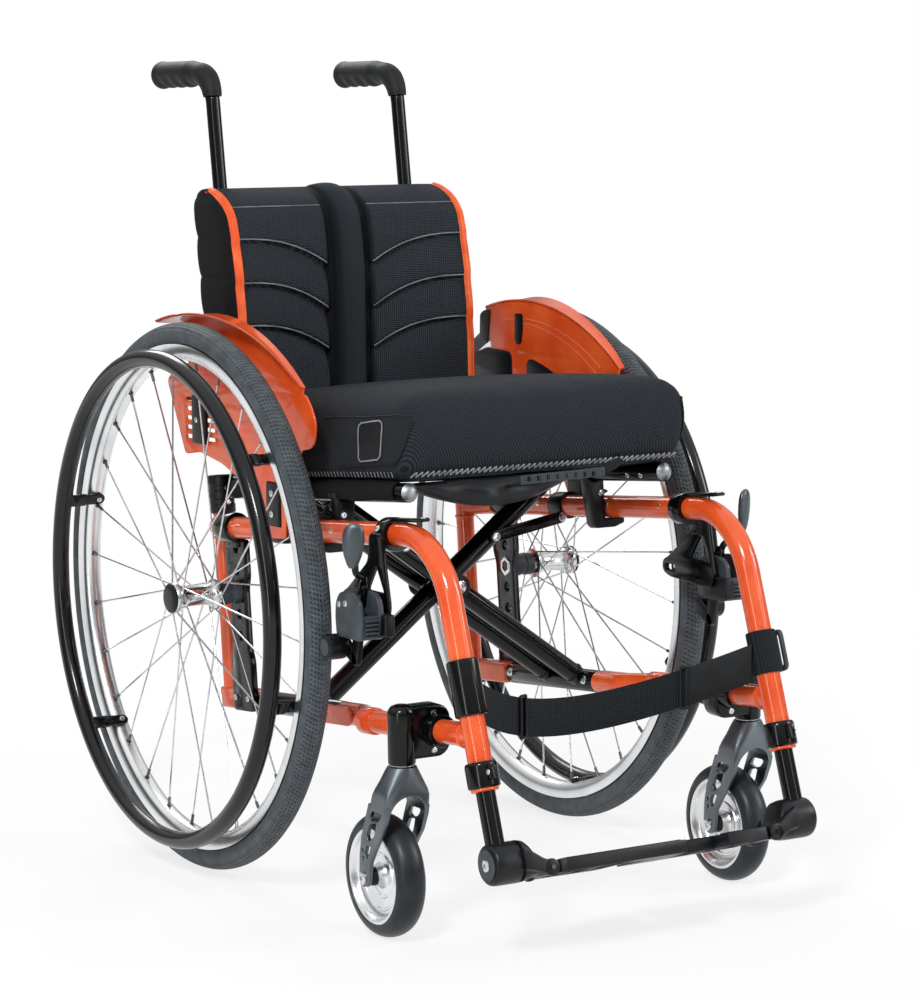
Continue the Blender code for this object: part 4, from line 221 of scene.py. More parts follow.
def woven(name, dark, light, pitch_mm, angle=0.0, depth=0.0006, ribs=False, sideways=False,
          back=False):
    """Knitted mesh or woven webbing: rows of loops at a pitch in millimetres, on the front and top or on a side."""
    material, tree, shader = new_material(name, light, Roughness=0.9, Specular_IOR_Level=0.25)
    part = add(tree, "ShaderNodeSeparateXYZ", {"Vector": place_of(tree)}).outputs
    rise = add(tree, "ShaderNodeMath", {0: part["Z"], 1: part["Y"]}, operation="ADD").outputs["Value"]
    level = part["X"]
    if sideways:
        rise, level = part["Z"], part["Y"]
    rate = 2 * math.pi * 1000.0 / pitch_mm
    c, s = math.cos(angle) * rate, math.sin(angle) * rate
    u = add(tree, "ShaderNodeMath", {0: level, 1: c}, operation="MULTIPLY").outputs["Value"]
    u = add(tree, "ShaderNodeMath", {0: rise, 1: s, 2: u}, operation="MULTIPLY_ADD").outputs["Value"]
    v = add(tree, "ShaderNodeMath", {0: level, 1: -s}, operation="MULTIPLY").outputs["Value"]
    v = add(tree, "ShaderNodeMath", {0: rise, 1: c, 2: v}, operation="MULTIPLY_ADD").outputs["Value"]
    along = add(tree, "ShaderNodeMath", {0: u}, operation="SINE").outputs["Value"]
    across = add(tree, "ShaderNodeMath", {0: v}, operation="SINE").outputs["Value"]
    if ribs:
        loops = add(tree, "ShaderNodeMath", {0: across, 1: 0.8, 2: along}, operation="MULTIPLY_ADD").outputs["Value"]
    else:
        loops = add(tree, "ShaderNodeMath", {0: along, 1: across}, operation="MULTIPLY").outputs["Value"]
    level = add(tree, "ShaderNodeMapRange", {"Value": loops, "From Min": -1.0, "From Max": 1.0}).outputs["Result"]
    colour = two_tones(tree, level, dark, light, 0.30, 0.85)
    if back:
        # Painted shade: the spine and its two channels get flat dark colours in place of the weave, darkest in the
        # channels, and the wings past the piping are plain black cloth.
        across = add(tree, "ShaderNodeMath", {0: part["X"]}, operation="ABSOLUTE").outputs["Value"]
        spine_and_channel_shade = add(tree, "ShaderNodeMapRange", {"Value": across, "From Min": 0.0265, "From Max": 0.0325,
                                                   "To Min": 1.0, "To Max": 0.0}).outputs["Result"]
        edge = add(tree, "ShaderNodeMapRange", {"Value": across, "From Min": 0.0125, "From Max": 0.0175}).outputs["Result"]
        # This colour is painted shade: 20262B on the spine and 0A0C0F in the channels. The same near-black is also the
        # wings' own cloth.
        cloth = add(tree, "ShaderNodeMix", {"Factor": edge, 6: linear("20262B"), 7: linear("0A0C0F")},
                    data_type="RGBA").outputs[2]
        wing = add(tree, "ShaderNodeMapRange", {"Value": across, "From Min": 0.1485, "From Max": 0.1495}).outputs["Result"]
        painted_shade_and_wing = add(tree, "ShaderNodeMath", {0: spine_and_channel_shade, 1: wing}, operation="MAXIMUM").outputs["Value"]
        shade = add(tree, "ShaderNodeMix", {"Factor": painted_shade_and_wing, 6: colour, 7: cloth}, data_type="RGBA")
        colour = shade.outputs[2]
        level = add(tree, "ShaderNodeMath", {0: level, 1: add(tree, "ShaderNodeMath", {0: 1.0, 1: painted_shade_and_wing},
                                                              operation="SUBTRACT").outputs["Value"]},
                    operation="MULTIPLY").outputs["Value"]
    tree.links.new(colour, shader.inputs["Base Color"])
    bump(tree, shader, level, 0.8, depth)
    return material


orange_coat = powder_coat("orange_powder_coat", "D94A1A", "E8602B", 0.6)
black_coat = powder_coat("black_powder_coat", "020304", "06080A", 0.3)
black_anodised = powder_coat("black_anodised_aluminium", "05070A", "0B0E12", 0.4)
black_nylon = moulded("black_glass_filled_nylon", "090B0E", "111418", 0.36)
grey_nylon = moulded("grey_nylon", "2E3439", "3E464C", 0.45)
brake_casting = moulded("blue_grey_brake_casting", "2C3338", "414A51", 0.36, 2.0, 0.15)
black_grip = moulded("foam_rubber_grip", "080A0D", "101317", 0.6, 1.2, 0.5)
black_rubber = moulded("soft_rubber_strip", "0A0C0F", "13161A", 0.7, 1.0, 0.4)
castor_rubber = moulded("cast_polyurethane_tyre", "1B2024", "272D32", 0.36, 3.0, 0.1)
fork_casting = bare_metal("grey_die_casting", "666D72", "747B80", 0.36, 40.0)
bright_alloy = bare_metal("satin_polished_aluminium", "DCDEE0", "EEEFF0", 0.27, 60.0)
bright_steel = bare_metal("bright_steel", "C4C7C9", "E0E2E4", 0.18, 3.0)
satin_cap = bare_metal("satin_nickel_cap", "909496", "A8ACAE", 0.42, 20.0)
satin_paddle = bare_metal("satin_grey_paddle", "525A5F", "5E666B", 0.4, 30.0)
# The real loops are 2.7 mm apart, too fine for the view, so they are drawn a quarter coarser.
seat_mesh = woven("knitted_spacer_mesh", "0C0F13", "333A42", 3.4, 0.0, 0.0010)
back_mesh = woven("twill_spacer_mesh", "0F1317", "3A4149", 3.3, math.radians(38.0), 0.0009, back=True)
nylon_web = woven("nylon_webbing", "0F1215", "23282D", 2.4, 0.0, 0.0005, ribs=True)
grey_web = woven("grey_elastic_webbing", "2F3438", "4C5257", 2.4, 0.0, 0.0004, ribs=True)
plain_cloth = woven("tight_nylon_cloth", "090B0D", "14181C", 2.0, 0.0, 0.0002)
side_cloth = woven("fine_side_panel_mesh", "12161A", "282E34", 3.2, 0.0, 0.0004, sideways=True)
glossy_cloth = moulded("coated_nylon_cloth", "080A0D", "14181D", 0.26, 3.0, 0.25)
dark_seam = moulded("black_binding_tape", "07090B", "101317", 0.6, 1.2, 0.4)
orange_piping = moulded("orange_piping_cloth", "DE5220", "F2703A", 0.5, 1.0, 0.3)
thread = moulded("grey_sewing_thread", "787D81", "989DA1", 0.8, 1.0, 0.4)
# Seam thread in a light grey: partly real stitching, partly a painted highlight for the lit fold along each seam of the
# back.
seam_thread_and_highlight = moulded("grey_seam_thread_and_painted_highlight", "63696E", "858B90", 0.8, 1.0, 0.4)


# Modelling helpers

def let_go():
    bpy.ops.object.select_all(action="DESELECT")


def take(obj):
    let_go()
    obj.select_set(True)
    bpy.context.view_layer.objects.active = obj
    return obj


def settle(obj):
    """Applies place, turn and size to the mesh."""
    take(obj)
    bpy.ops.object.transform_apply(location=True, rotation=True, scale=True)
    return obj


def apply_all(obj):
    take(obj)
    for modifier in list(obj.modifiers):
        bpy.ops.object.modifier_apply(modifier=modifier.name)
    return obj


def mend(obj, distance=1e-6):
    """Merges doubles and turns all faces outwards."""
    take(obj)
    bpy.ops.object.mode_set(mode="EDIT")
    bpy.ops.mesh.select_all(action="SELECT")
    bpy.ops.mesh.remove_doubles(threshold=distance)
    bpy.ops.mesh.normals_make_consistent(inside=False)
    bpy.ops.object.mode_set(mode="OBJECT")
    return obj


def soften(obj, width, segments=2, angle=35.0):
    """Rounds the sharp edges."""
    if width:
        edge = obj.modifiers.new("edge", "BEVEL")
        edge.width = width
        edge.segments = segments
        edge.limit_method = "ANGLE"
        edge.angle_limit = math.radians(angle)
        apply_all(obj)
    return obj


def mesh_piece(vertices, edges, faces):
    mesh = bpy.data.meshes.new("piece")
    mesh.from_pydata([tuple(v) for v in vertices], edges, faces)
    obj = bpy.data.objects.new("piece", mesh)
    bpy.context.scene.collection.objects.link(obj)
    return take(obj)


def tube_run(points, radius, sides=32):
    """A round tube along points. The radius is one number, or one for each point."""
    radii = radius if isinstance(radius, list) else [radius] * len(points)
    let_go()
    bpy.ops.curve.primitive_nurbs_path_add()
    run = bpy.context.object
    run.data.splines.clear()
    line = run.data.splines.new("POLY")
    line.points.add(len(points) - 1)
    for knot, point, size in zip(line.points, points, radii):
        knot.co = (*point, 1.0)
        knot.radius = size
    run.data.bevel_depth = 1.0
    run.data.bevel_resolution = (sides - 4) // 2
    run.data.use_fill_caps = True
    bpy.ops.object.convert(target="MESH")
    return mend(bpy.context.object)


def rounded(corners, radii, steps=14):
    """Points along straight runs whose inner corners are bent to the given radii."""
    corners = [Vector(c) for c in corners]
    path = [corners[0]]
    for before, corner, after, radius in zip(corners, corners[1:], corners[2:], radii):
        back, ahead = (before - corner).normalized(), (after - corner).normalized()
        turn = math.pi - back.angle(ahead)
        centre = corner + (back + ahead).normalized() * (radius / math.cos(turn / 2))
        start = corner + back * radius * math.tan(turn / 2) - centre
        end = corner + ahead * radius * math.tan(turn / 2) - centre
        axis = start.cross(end).normalized()
        path += [centre + Quaternion(axis, turn * i / steps) @ start for i in range(steps + 1)]
    return path + [corners[-1]]


def turned(profile, matrix, steps=64):
    """A closed profile of radius and height, spun about the matrix's Z."""
    points = [(r, 0.0, z) for r, z in profile]
    edges = [(i, (i + 1) % len(points)) for i in range(len(points))]
    obj = mesh_piece(points, edges, [])
    bpy.ops.object.mode_set(mode="EDIT")
    bpy.ops.mesh.select_all(action="SELECT")
    bpy.ops.mesh.spin(steps=steps, angle=2 * math.pi, center=(0, 0, 0), axis=(0, 0, 1))
    bpy.ops.object.mode_set(mode="OBJECT")
    obj.data.transform(matrix)
    return mend(obj, 1e-5)


def flat_piece(outline, low, high, plane, holes=(), edge=0.0):
    """A flat outline with holes, thick from low to high along the third axis, with rounded edges."""
    let_go()
    bpy.ops.curve.primitive_bezier_circle_add()
    sheet = bpy.context.object
    shape = sheet.data
    shape.splines.clear()
    shape.dimensions = "2D"
    shape.fill_mode = "BOTH"
    shape.extrude = abs(high - low) / 2 - edge
    shape.bevel_depth = edge
    shape.bevel_resolution = 2
    shape.offset = -edge
    for loop in (outline, *holes):
        line = shape.splines.new("POLY")
        line.points.add(len(loop) - 1)
        line.use_cyclic_u = True
        for knot, (u, v) in zip(line.points, loop):
            knot.co = (u, v, 0.0, 1.0)
    bpy.ops.object.convert(target="MESH")
    obj = bpy.context.object
    middle = (low + high) / 2
    for vertex in obj.data.vertices:
        u, v, w = vertex.co
        vertex.co = (w + middle, u, v) if plane == "YZ" else (u, w + middle, v) if plane == "XZ" else (u, v, w + middle)
    return mend(obj)


def block(low, high, edge=0.0):
    """A box between two corners with rounded edges."""
    low, high = Vector(low), Vector(high)
    let_go()
    bpy.ops.mesh.primitive_cube_add(size=1.0, location=(low + high) / 2)
    obj = bpy.context.object
    obj.scale = [abs(v) for v in high - low]
    return soften(settle(obj), edge, 3)


def rod(start, end, radius, edge=0.0, sides=32):
    """A straight round bar with rounded rims."""
    start, end = Vector(start), Vector(end)
    let_go()
    bpy.ops.mesh.primitive_cylinder_add(vertices=sides, radius=radius, depth=(end - start).length,
                                        location=(start + end) / 2,
                                        rotation=(end - start).to_track_quat("Z", "Y").to_euler())
    return soften(settle(bpy.context.object), edge, 2, 60.0)


def ball(centre, radius, squash=(1.0, 1.0, 1.0), segments=24):
    let_go()
    bpy.ops.mesh.primitive_uv_sphere_add(segments=segments, ring_count=segments // 2, radius=radius,
                                         location=centre)
    obj = bpy.context.object
    obj.scale = squash
    return settle(obj)


def loft(rings):
    """A closed solid through rings of equal count."""
    count = len(rings[0])
    faces = [(k * count + i, k * count + (i + 1) % count, (k + 1) * count + (i + 1) % count, (k + 1) * count + i)
             for k in range(len(rings) - 1) for i in range(count)]
    faces += [tuple(range(count))[::-1], tuple((len(rings) - 1) * count + i for i in range(count))]
    return mend(mesh_piece([p for ring in rings for p in ring], [], faces))


def cut(obj, *tools):
    for tool in tools:
        change = obj.modifiers.new("cut", "BOOLEAN")
        change.operation = "DIFFERENCE"
        change.object = tool
        apply_all(obj)
        bpy.data.objects.remove(tool, do_unlink=True)
    return obj


def together(*pieces):
    let_go()
    for piece in pieces:
        piece.select_set(True)
    bpy.context.view_layer.objects.active = pieces[0]
    if len(pieces) > 1:
        bpy.ops.object.join()
    return pieces[0]


def moved(obj, matrix):
    obj.data.transform(matrix)
    return obj


def arc(u, v, radius, start, end, steps):
    return [(u + radius * math.cos(math.radians(start + (end - start) * i / steps)),
             v + radius * math.sin(math.radians(start + (end - start) * i / steps))) for i in range(steps + 1)]


def capsule(first, second, r1, r2, steps=10):
    heading = math.degrees(math.atan2(second[1] - first[1], second[0] - first[0]))
    return (arc(*second, r2, heading - 90, heading + 90, steps) + arc(*first, r1, heading + 90, heading + 270, steps))


def circle(u, v, radius, sides=24):
    return arc(u, v, radius, 0, 360, sides)[:-1]


def round_corners(outline, radius, steps=4):
    """An outline with its corners rounded, less where two of them are close."""
    points = []
    count = len(outline)
    for i, corner in enumerate(outline):
        corner = Vector(corner)
        back, ahead = Vector(outline[i - 1]) - corner, Vector(outline[(i + 1) % count]) - corner
        reach = min(radius, 0.45 * back.length, 0.45 * ahead.length)
        start, end = corner + back.normalized() * reach, corner + ahead.normalized() * reach
        for k in range(steps + 1):
            t = k / steps
            spot = start * (1 - t) ** 2 + corner * 2 * t * (1 - t) + end * t ** 2
            points.append((spot.x, spot.y))
    return points


def wheel_place(side, x, y, z):
    """Turns a profile's Z to the chair's outboard side."""
    return Matrix.Translation((side * x, y, z)) @ Matrix.Rotation(side * math.pi / 2, 4, "Y")


def finish(obj, name, material, body, nodes=(), angle=35.0):
    """Moves a piece to the CAD's frame, gives it its finish, and hangs it on its body."""
    settle(obj)
    obj.data.transform(CHAIR)
    obj.name = name
    obj.data.name = name
    obj.data.materials.clear()
    obj.data.materials.append(material)
    take(obj)
    bpy.ops.object.shade_smooth_by_angle(angle=math.radians(angle))
    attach(obj, body)
    if nodes:
        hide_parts(*nodes)
    return obj


def dressed(node, material, edge=0.0006, angle=35.0):
    """A copy of a CAD solid with merged vertices and softened edges, in its place."""
    source = frame["nodes"][node]
    obj = bpy.data.objects.new(node + "_skin", source.data.copy())
    bpy.context.scene.collection.objects.link(obj)
    mend(obj, 1e-5)
    take(obj)
    bpy.ops.object.mode_set(mode="EDIT")
    bpy.ops.mesh.select_all(action="SELECT")
    bpy.ops.mesh.dissolve_limited(angle_limit=math.radians(1.0))
    bpy.ops.object.mode_set(mode="OBJECT")
    soften(obj, edge, 2, 40.0)
    obj.data.transform(CHAIR.inverted())
    return finish(obj, node + "_skin", material, source["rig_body"], (node,), angle)


def hex_screw(centre, axis, radius, length=0.0015):
    """A small round head with a hexagon recess."""
    centre, axis = Vector(centre), Vector(axis).normalized()
    head = rod(centre, centre + axis * length, radius, radius * 0.18, 24)
    socket = rod(centre + axis * length * 0.4, centre + axis * length * 2, radius * 0.45, 0.0, 6)
    return cut(head, socket)


# Camera, light and floor

def set_camera():
    yaw, pitch, roll = math.radians(31.08355), math.radians(-6.98543), math.radians(-0.62891)
    ahead = Vector((math.sin(yaw) * math.cos(pitch), math.cos(yaw) * math.cos(pitch), math.sin(pitch)))
    right = Vector((math.cos(yaw), -math.sin(yaw), 0.0))
    up = right.cross(ahead)
    right, up = (right * math.cos(roll) + up * math.sin(roll), up * math.cos(roll) - right * math.sin(roll))
    data = bpy.data.cameras.new("camera")
    data.sensor_fit = "HORIZONTAL"
    data.sensor_width = 36.0
    data.lens = 3113.25 * 36.0 / 920.0
    data.clip_end = 60.0
    camera = bpy.data.objects.new("camera", data)
    bpy.context.scene.collection.objects.link(camera)
    turn = Matrix((right, up, -ahead)).transposed().to_4x4()
    camera.matrix_world = Matrix.Translation((-1.70937, -3.01489 + AXLE_Y, 0.80948)) @ turn
    bpy.context.scene.camera = camera


def set_light():
    scene = bpy.context.scene
    scene.view_settings.view_transform = "Standard"
    world = bpy.data.worlds.new("studio")
    scene.world = world
    world.use_nodes = True
    tree = world.node_tree
    tree.nodes.clear()
    rays = add(tree, "ShaderNodeLightPath").outputs
    seen = add(tree, "ShaderNodeMath", {0: rays["Is Camera Ray"], 1: rays["Is Transmission Ray"]},
               operation="MAXIMUM").outputs["Value"]
    # Shiny surfaces see the same white room, a little darker round the sides than overhead.
    heading = add(tree, "ShaderNodeSeparateXYZ", {"Vector": add(tree, "ShaderNodeTexCoord").outputs["Generated"]})
    room = add(tree, "ShaderNodeMapRange", {"Value": heading.outputs["Z"], "From Min": 0.15, "From Max": 0.65,
                                            "To Min": 0.25, "To Max": 1.0}).outputs["Result"]
    soft = add(tree, "ShaderNodeBackground", {"Color": (1, 1, 1, 1), "Strength": 0.42})
    white = add(tree, "ShaderNodeBackground", {"Color": (1, 1, 1, 1), "Strength": 1.0})
    shine = add(tree, "ShaderNodeBackground", {"Color": (1, 1, 1, 1), "Strength": room})
    mix = add(tree, "ShaderNodeMixShader", {0: rays["Is Glossy Ray"], 1: soft.outputs[0], 2: shine.outputs[0]})
    mix = add(tree, "ShaderNodeMixShader", {0: seen, 1: mix.outputs[0], 2: white.outputs[0]})
    add(tree, "ShaderNodeOutputWorld", {"Surface": mix.outputs[0]})
    for name, place, size, power in (("key", (-2.4, -2.2, 3.0), 0.7, 85.0), ("fill", (2.8, -1.8, 2.0), 1.2, 38.0),
                                     ("rim", (0.5, 3.0, 2.6), 1.4, 45.0)):
        data = bpy.data.lights.new(name, "AREA")
        data.size = size
        data.energy = power
        lamp = bpy.data.objects.new(name, data)
        scene.collection.objects.link(lamp)
        lamp.location = place
        lamp.rotation_euler = (Vector((0, 0, 0.4)) - Vector(place)).to_track_quat("-Z", "Y").to_euler()
    # Tall strips draw the long bright lines down the gloss tubes.
    for name, place, power in (("strip left", (-2.9, -1.7, 1.1), 16.0), ("strip right", (1.7, -3.1, 1.1), 12.0)):
        data = bpy.data.lights.new(name, "AREA")
        data.shape = "RECTANGLE"
        data.size = 0.35
        data.size_y = 2.0
        data.energy = power
        lamp = bpy.data.objects.new(name, data)
        scene.collection.objects.link(lamp)
        lamp.location = place
        lamp.rotation_euler = (Vector((0, 0, place[2])) - Vector(place)).to_track_quat("-Z", "Y").to_euler()


def set_floor():
    let_go()
    bpy.ops.mesh.primitive_plane_add(size=40.0, location=(0, 0, 0))
    floor = bpy.context.object
    floor.name = "floor"
    material, tree, shader = new_material("white_paper_floor", "FFFFFF", Roughness=0.9, Specular_IOR_Level=0.0)
    rays = add(tree, "ShaderNodeLightPath").outputs
    glow = add(tree, "ShaderNodeEmission", {"Color": (1, 1, 1, 1), "Strength": 1.0})
    away = add(tree, "ShaderNodeVectorMath", {0: place_of(tree)}, operation="LENGTH").outputs["Value"]
    # The paper is white by itself further out, and shows the object's shadow close by.
    white = add(tree, "ShaderNodeMapRange", {"Value": away, "From Min": 0.6, "From Max": 1.5, "To Min": 0.78,
                                             "To Max": 1.0}).outputs["Result"]
    seen = add(tree, "ShaderNodeMath", {0: rays["Is Camera Ray"], 1: rays["Is Glossy Ray"]},
               operation="MAXIMUM").outputs["Value"]
    share = add(tree, "ShaderNodeMath", {0: seen, 1: white}, operation="MULTIPLY").outputs["Value"]
    mix = add(tree, "ShaderNodeMixShader", {0: share, 1: shader.outputs[0], 2: glow.outputs[0]})
    tree.links.new(mix.outputs[0], tree.nodes["Material Output"].inputs["Surface"])
    floor.data.materials.append(material)


set_camera()
set_light()
set_floor()


# Rear wheels

def rear_wheel(tag, side):
    body = f"rear_wheel_{tag}"
    place = wheel_place(side, WHEEL_X, 0.0, WHEEL_Z)
    tread = [(0.2838 + 0.0137 * math.cos(math.radians(a)), 0.0135 * math.sin(math.radians(a)))
             for a in range(-125, 126, 10)]
    profile = tread + [(0.2750, 0.0080), (0.2750, -0.0080)]
    finish(turned(profile, place, 180), f"tyre_{tag}", tyre_rubber(f"tyre_rubber_{tag}", side), body,
           (f"rear_tyre_{tag}",))
    section = [(0.2747, -0.0122), (0.2747, -0.0100), (0.2742, 0.0), (0.2747, 0.0100), (0.2747, 0.0122),
               (0.2665, 0.0120), (0.2620, 0.0102), (0.2580, 0.0068), (0.2568, 0.0030), (0.2568, -0.0030),
               (0.2580, -0.0068), (0.2620, -0.0102), (0.2665, -0.0120)]
    finish(turned(section, place, 180), f"rim_{tag}", bright_alloy, body, (f"rear_rim_{tag}",))

    let_go()
    bpy.ops.mesh.primitive_torus_add(major_radius=0.2608, minor_radius=0.0095, major_segments=180,
                                     minor_segments=24)
    hoop = moved(bpy.context.object, place @ Matrix.Translation((0, 0, 0.0406)))
    tabs, screws = [hoop], []
    for i in range(6):
        angle = math.radians(19.0 + 60.0 * i)
        turn = Matrix.Translation((side * WHEEL_X, 0, WHEEL_Z)) @ Matrix.Rotation(angle - math.pi / 2, 4, "X")
        outline = [(side * x, y) for x, y in
                   [(0.034, -0.0062), *arc(-0.001, 0.0, 0.0062, 270, 90, 8), (0.034, 0.0062)]]
        strip = flat_piece(outline, 0.2530, 0.2562, "XY", edge=0.0008)
        # The last part of the strip is thicker, where the hoop is riveted to it.
        foot = block((side * 0.016, -0.0072, 0.2522), (side * 0.036, 0.0072, 0.2572), 0.0018)
        tabs += [moved(strip, turn), moved(foot, turn)]
        screws.append(moved(hex_screw((side * 0.0005, 0, 0.2530), (0, 0, -1), 0.0031, 0.0016), turn))
    finish(together(*tabs), f"handrim_hoop_{tag}", black_anodised, body, (f"handrim_{tag}",))
    finish(together(*screws), f"handrim_screws_{tag}", bright_steel, body)

    shell = [(0.0, 0.0262), (0.0150, 0.0262), (0.0166, 0.0240), (0.0168, 0.0205), (0.0150, 0.0190), (0.0128, 0.0150),
             (0.0112, 0.0080), (0.0105, -0.0040), (0.0108, -0.0140), (0.0122, -0.0200), (0.0150, -0.0228),
             (0.0168, -0.0235), (0.0168, -0.0262), (0.0130, -0.0268), (0.0100, -0.0270), (0.0100, -0.0300),
             (0.0063, -0.0300), (0.0063, -0.0555), (0.0, -0.0560)]
    hub = turned(shell, place, 48)
    cap = turned([(0.0, 0.0304), (0.0100, 0.0304), (0.0140, 0.0296), (0.0160, 0.0280), (0.0160, 0.0262),
                  (0.0, 0.0262)], place, 48)
    finish(cap, f"hub_cap_{tag}", black_nylon, body)
    wires, nipples = [hub], []
    for i in range(28):
        rim_angle = math.radians(19.0 - 2.14) + 2 * math.pi * i / 28
        lean = math.radians(55.0) if (i // 2) % 2 else -math.radians(55.0)
        flange = 0.0195 if i % 2 else -0.0248
        splay = 0.0012 if lean > 0 else -0.0012

        def spot(radius, angle, x):
            return Vector((side * (WHEEL_X + x), radius * math.cos(angle), WHEEL_Z + radius * math.sin(angle)))

        start, end = spot(0.0158, rim_angle + lean, flange + splay), spot(0.2575, rim_angle, 0.6 * splay)
        wires.append(rod(start, end, 0.00095, 0.0, 8))
        nipples.append(rod(end, end + (start - end).normalized() * 0.0120, 0.0017, 0.0, 10))
        nipples.append(rod(spot(0.2572, rim_angle, 0.6 * splay), spot(0.2560, rim_angle, 0.6 * splay), 0.0030, 0.0, 14))
    finish(together(*wires), f"hub_and_spokes_{tag}", bright_steel, body, (f"rear_hub_{tag}",))
    finish(together(*nipples), f"nipples_{tag}", fork_casting, body)


# Castors

def castor(tag, side):
    x, y, z = side * CASTOR_X, CASTOR_Y + 0.0363, 0.0625
    body = f"castor_wheel_{tag}"
    place = wheel_place(side, CASTOR_X, y, z)
    tread = [(0.0485 + 0.0140 * math.cos(math.radians(a)) ** 0.8 if abs(a) < 90 else 0.0485,
              0.0158 * math.sin(math.radians(a))) for a in range(-90, 91, 9)]
    finish(turned(tread, place, 96), f"castor_tread_{tag}", castor_rubber, body, (f"castor_tyre_{tag}",),
           60.0)
    half_dish = [(0.0488, 0.0146), (0.0470, 0.0150), (0.0450, 0.0145), (0.0435, 0.0118), (0.0425, 0.0085),
                 (0.0405, 0.0068), (0.0362, 0.0061), (0.0350, 0.0071), (0.0334, 0.0071), (0.0322, 0.0058),
                 (0.0236, 0.0047), (0.0224, 0.0058), (0.0208, 0.0058), (0.0196, 0.0044), (0.0136, 0.0048),
                 (0.0118, 0.0072), (0.0106, 0.0130), (0.0048, 0.0130)]
    dish = half_dish + [(r, -z) for r, z in reversed(half_dish)]
    finish(turned(dish, place, 96), f"castor_core_{tag}", bright_alloy, body, (f"castor_rim_{tag}",))
    spacer = [(0.0048, 0.0129), (0.0096, 0.0129), (0.0090, 0.0160), (0.0082, 0.0187), (0.0048, 0.0187)]
    sleeves = together(*[turned([(r, sense * z) for r, z in spacer], place, 40) for sense in (-1, 1)])
    finish(sleeves, f"castor_spacers_{tag}", black_nylon, body)

    inner, outer = 0.0197, 0.0247
    legs = []
    outline = [(-0.4236, 0.1400), (-0.4212, 0.1300), (-0.4125, 0.1120), (-0.3995, 0.0960), (-0.3885, 0.0800),
               *arc(y, z, 0.0095, 190, 372, 12), (-0.3672, 0.0860), (-0.3712, 0.1040), (-0.3800, 0.1250),
               (-0.3865, 0.1400)]
    holes = [round_corners([(-0.4130, 0.1330), (-0.4060, 0.1345), (-0.3930, 0.1330), (-0.3880, 0.1250),
                            (-0.3960, 0.1220), (-0.4070, 0.1255)], 0.0035),
             round_corners([(-0.4020, 0.1235), (-0.3880, 0.1190), (-0.3815, 0.1060), (-0.3860, 0.1010),
                            (-0.3975, 0.1090)], 0.0035),
             round_corners([(-0.3905, 0.0975), (-0.3810, 0.0960), (-0.3770, 0.0860), (-0.3830, 0.0830)], 0.0030),
             circle(-0.3735, 0.0905, 0.0018, 16), circle(-0.3742, 0.0825, 0.0018, 16)]
    for sense in (-1, 1):
        a, b = x + sense * inner, x + sense * outer
        legs.append(flat_piece(outline, min(a, b), max(a, b), "YZ", holes, 0.0010))
    rings = []
    for top, half_x, half_y, shift, power in (
            (0.1800, 0.0122, 0.0122, 0.0, 2.0), (0.1788, 0.0146, 0.0146, 0.0, 2.0), (0.1740, 0.0166, 0.0156, 0.0005, 2.4),
            (0.1650, 0.0208, 0.0162, 0.001, 3.0), (0.1560, 0.0246, 0.0168, 0.002, 4.5), (0.1500, 0.0255, 0.0172, 0.003, 7.0),
            (0.1420, 0.0256, 0.0176, 0.005, 8.0), (0.1340, 0.0256, 0.0176, 0.007, 8.0)):
        ring = []
        for i in range(40):
            a = 2 * math.pi * (i + 0.5) / 40
            c, s = math.cos(a), math.sin(a)
            ring.append((x + math.copysign(abs(c) ** (2 / power), c) * half_x,
                         CASTOR_Y + shift + math.copysign(abs(s) ** (2 / power), s) * half_y, top))
        rings.append(ring)
    crown = cut(loft(rings), rod((x, CASTOR_Y - 0.05, 0.1310), (x, CASTOR_Y + 0.06, 0.1310), inner, 0.0, 64))
    soften(crown, 0.0012, 3, 50.0)
    stem = rod((x, CASTOR_Y, 0.175), (x, CASTOR_Y, 0.2150), 0.0060)
    fork = finish(together(crown, *legs, stem), f"fork_{tag}", fork_casting, f"castor_fork_{tag}",
                  (f"castor_fork_{tag}",))
    bolts = []
    for sense in (-1, 1):
        bolts.append(hex_screw((x + sense * (outer - 0.0005), y, z), (sense, 0, 0), 0.0064, 0.0034))
    bolts.append(rod((x - outer, y, z), (x + outer, y, z), 0.0038))
    finish(together(*bolts), f"castor_axle_{tag}", bright_steel, f"castor_fork_{tag}")
    washers = together(*[turned([(0.0042, -0.0003), (0.0078, -0.0003), (0.0078, 0.0003), (0.0042, 0.0003)],
                                wheel_place(side, CASTOR_X + k * 0.0192, y, z), 32) for k in (-1, 1)])
    finish(washers, f"castor_washers_{tag}", black_nylon, f"castor_fork_{tag}")
    return fork


def castor_housing(tag, side):
    x = side * CASTOR_X
    barrel = turned([(0.0, 0.2405), (0.0060, 0.2403), (0.0105, 0.2385), (0.0132, 0.2350), (0.0140, 0.2310),
                     (0.0138, 0.1830), (0.0130, 0.1808), (0.0, 0.1808)],
                    Matrix.Translation((x, CASTOR_Y, 0)), 48)
    inner, low, high = 0.1605, 0.1860, 0.2385
    outline = (arc(inner + 0.0150, low + 0.0150, 0.0150, 180, 270, 8) + [(0.2080, low), (0.2080, high)]
               + arc(inner + 0.0150, high - 0.0150, 0.0150, 90, 180, 8))
    clamp = flat_piece([(side * u, v) for u, v in outline], CASTOR_Y - 0.0118, CASTOR_Y + 0.0118, "XZ", edge=0.0030)
    lip = rod(fold(side * RAIL_X, -0.4400, 0), fold(side * RAIL_X, -0.3850, 0), 0.0160, 0.001)
    finish(together(barrel, clamp, lip), f"castor_block_{tag}", black_coat, BODY[tag], (f"castor_housing_{tag}",),
           40.0)
    screws = [hex_screw((x - side * 0.0300, CASTOR_Y - 0.0116, v), (0, -1, 0), 0.0034, 0.0012)
              for v in (0.1935, 0.2305)]
    washer = turned([(0.0070, 0.1803), (0.0128, 0.1803), (0.0128, 0.1812), (0.0070, 0.1812)],
                    Matrix.Translation((x, CASTOR_Y, 0)), 40)
    finish(together(*screws, washer), f"castor_block_screws_{tag}", bright_steel, BODY[tag])


# Side frames

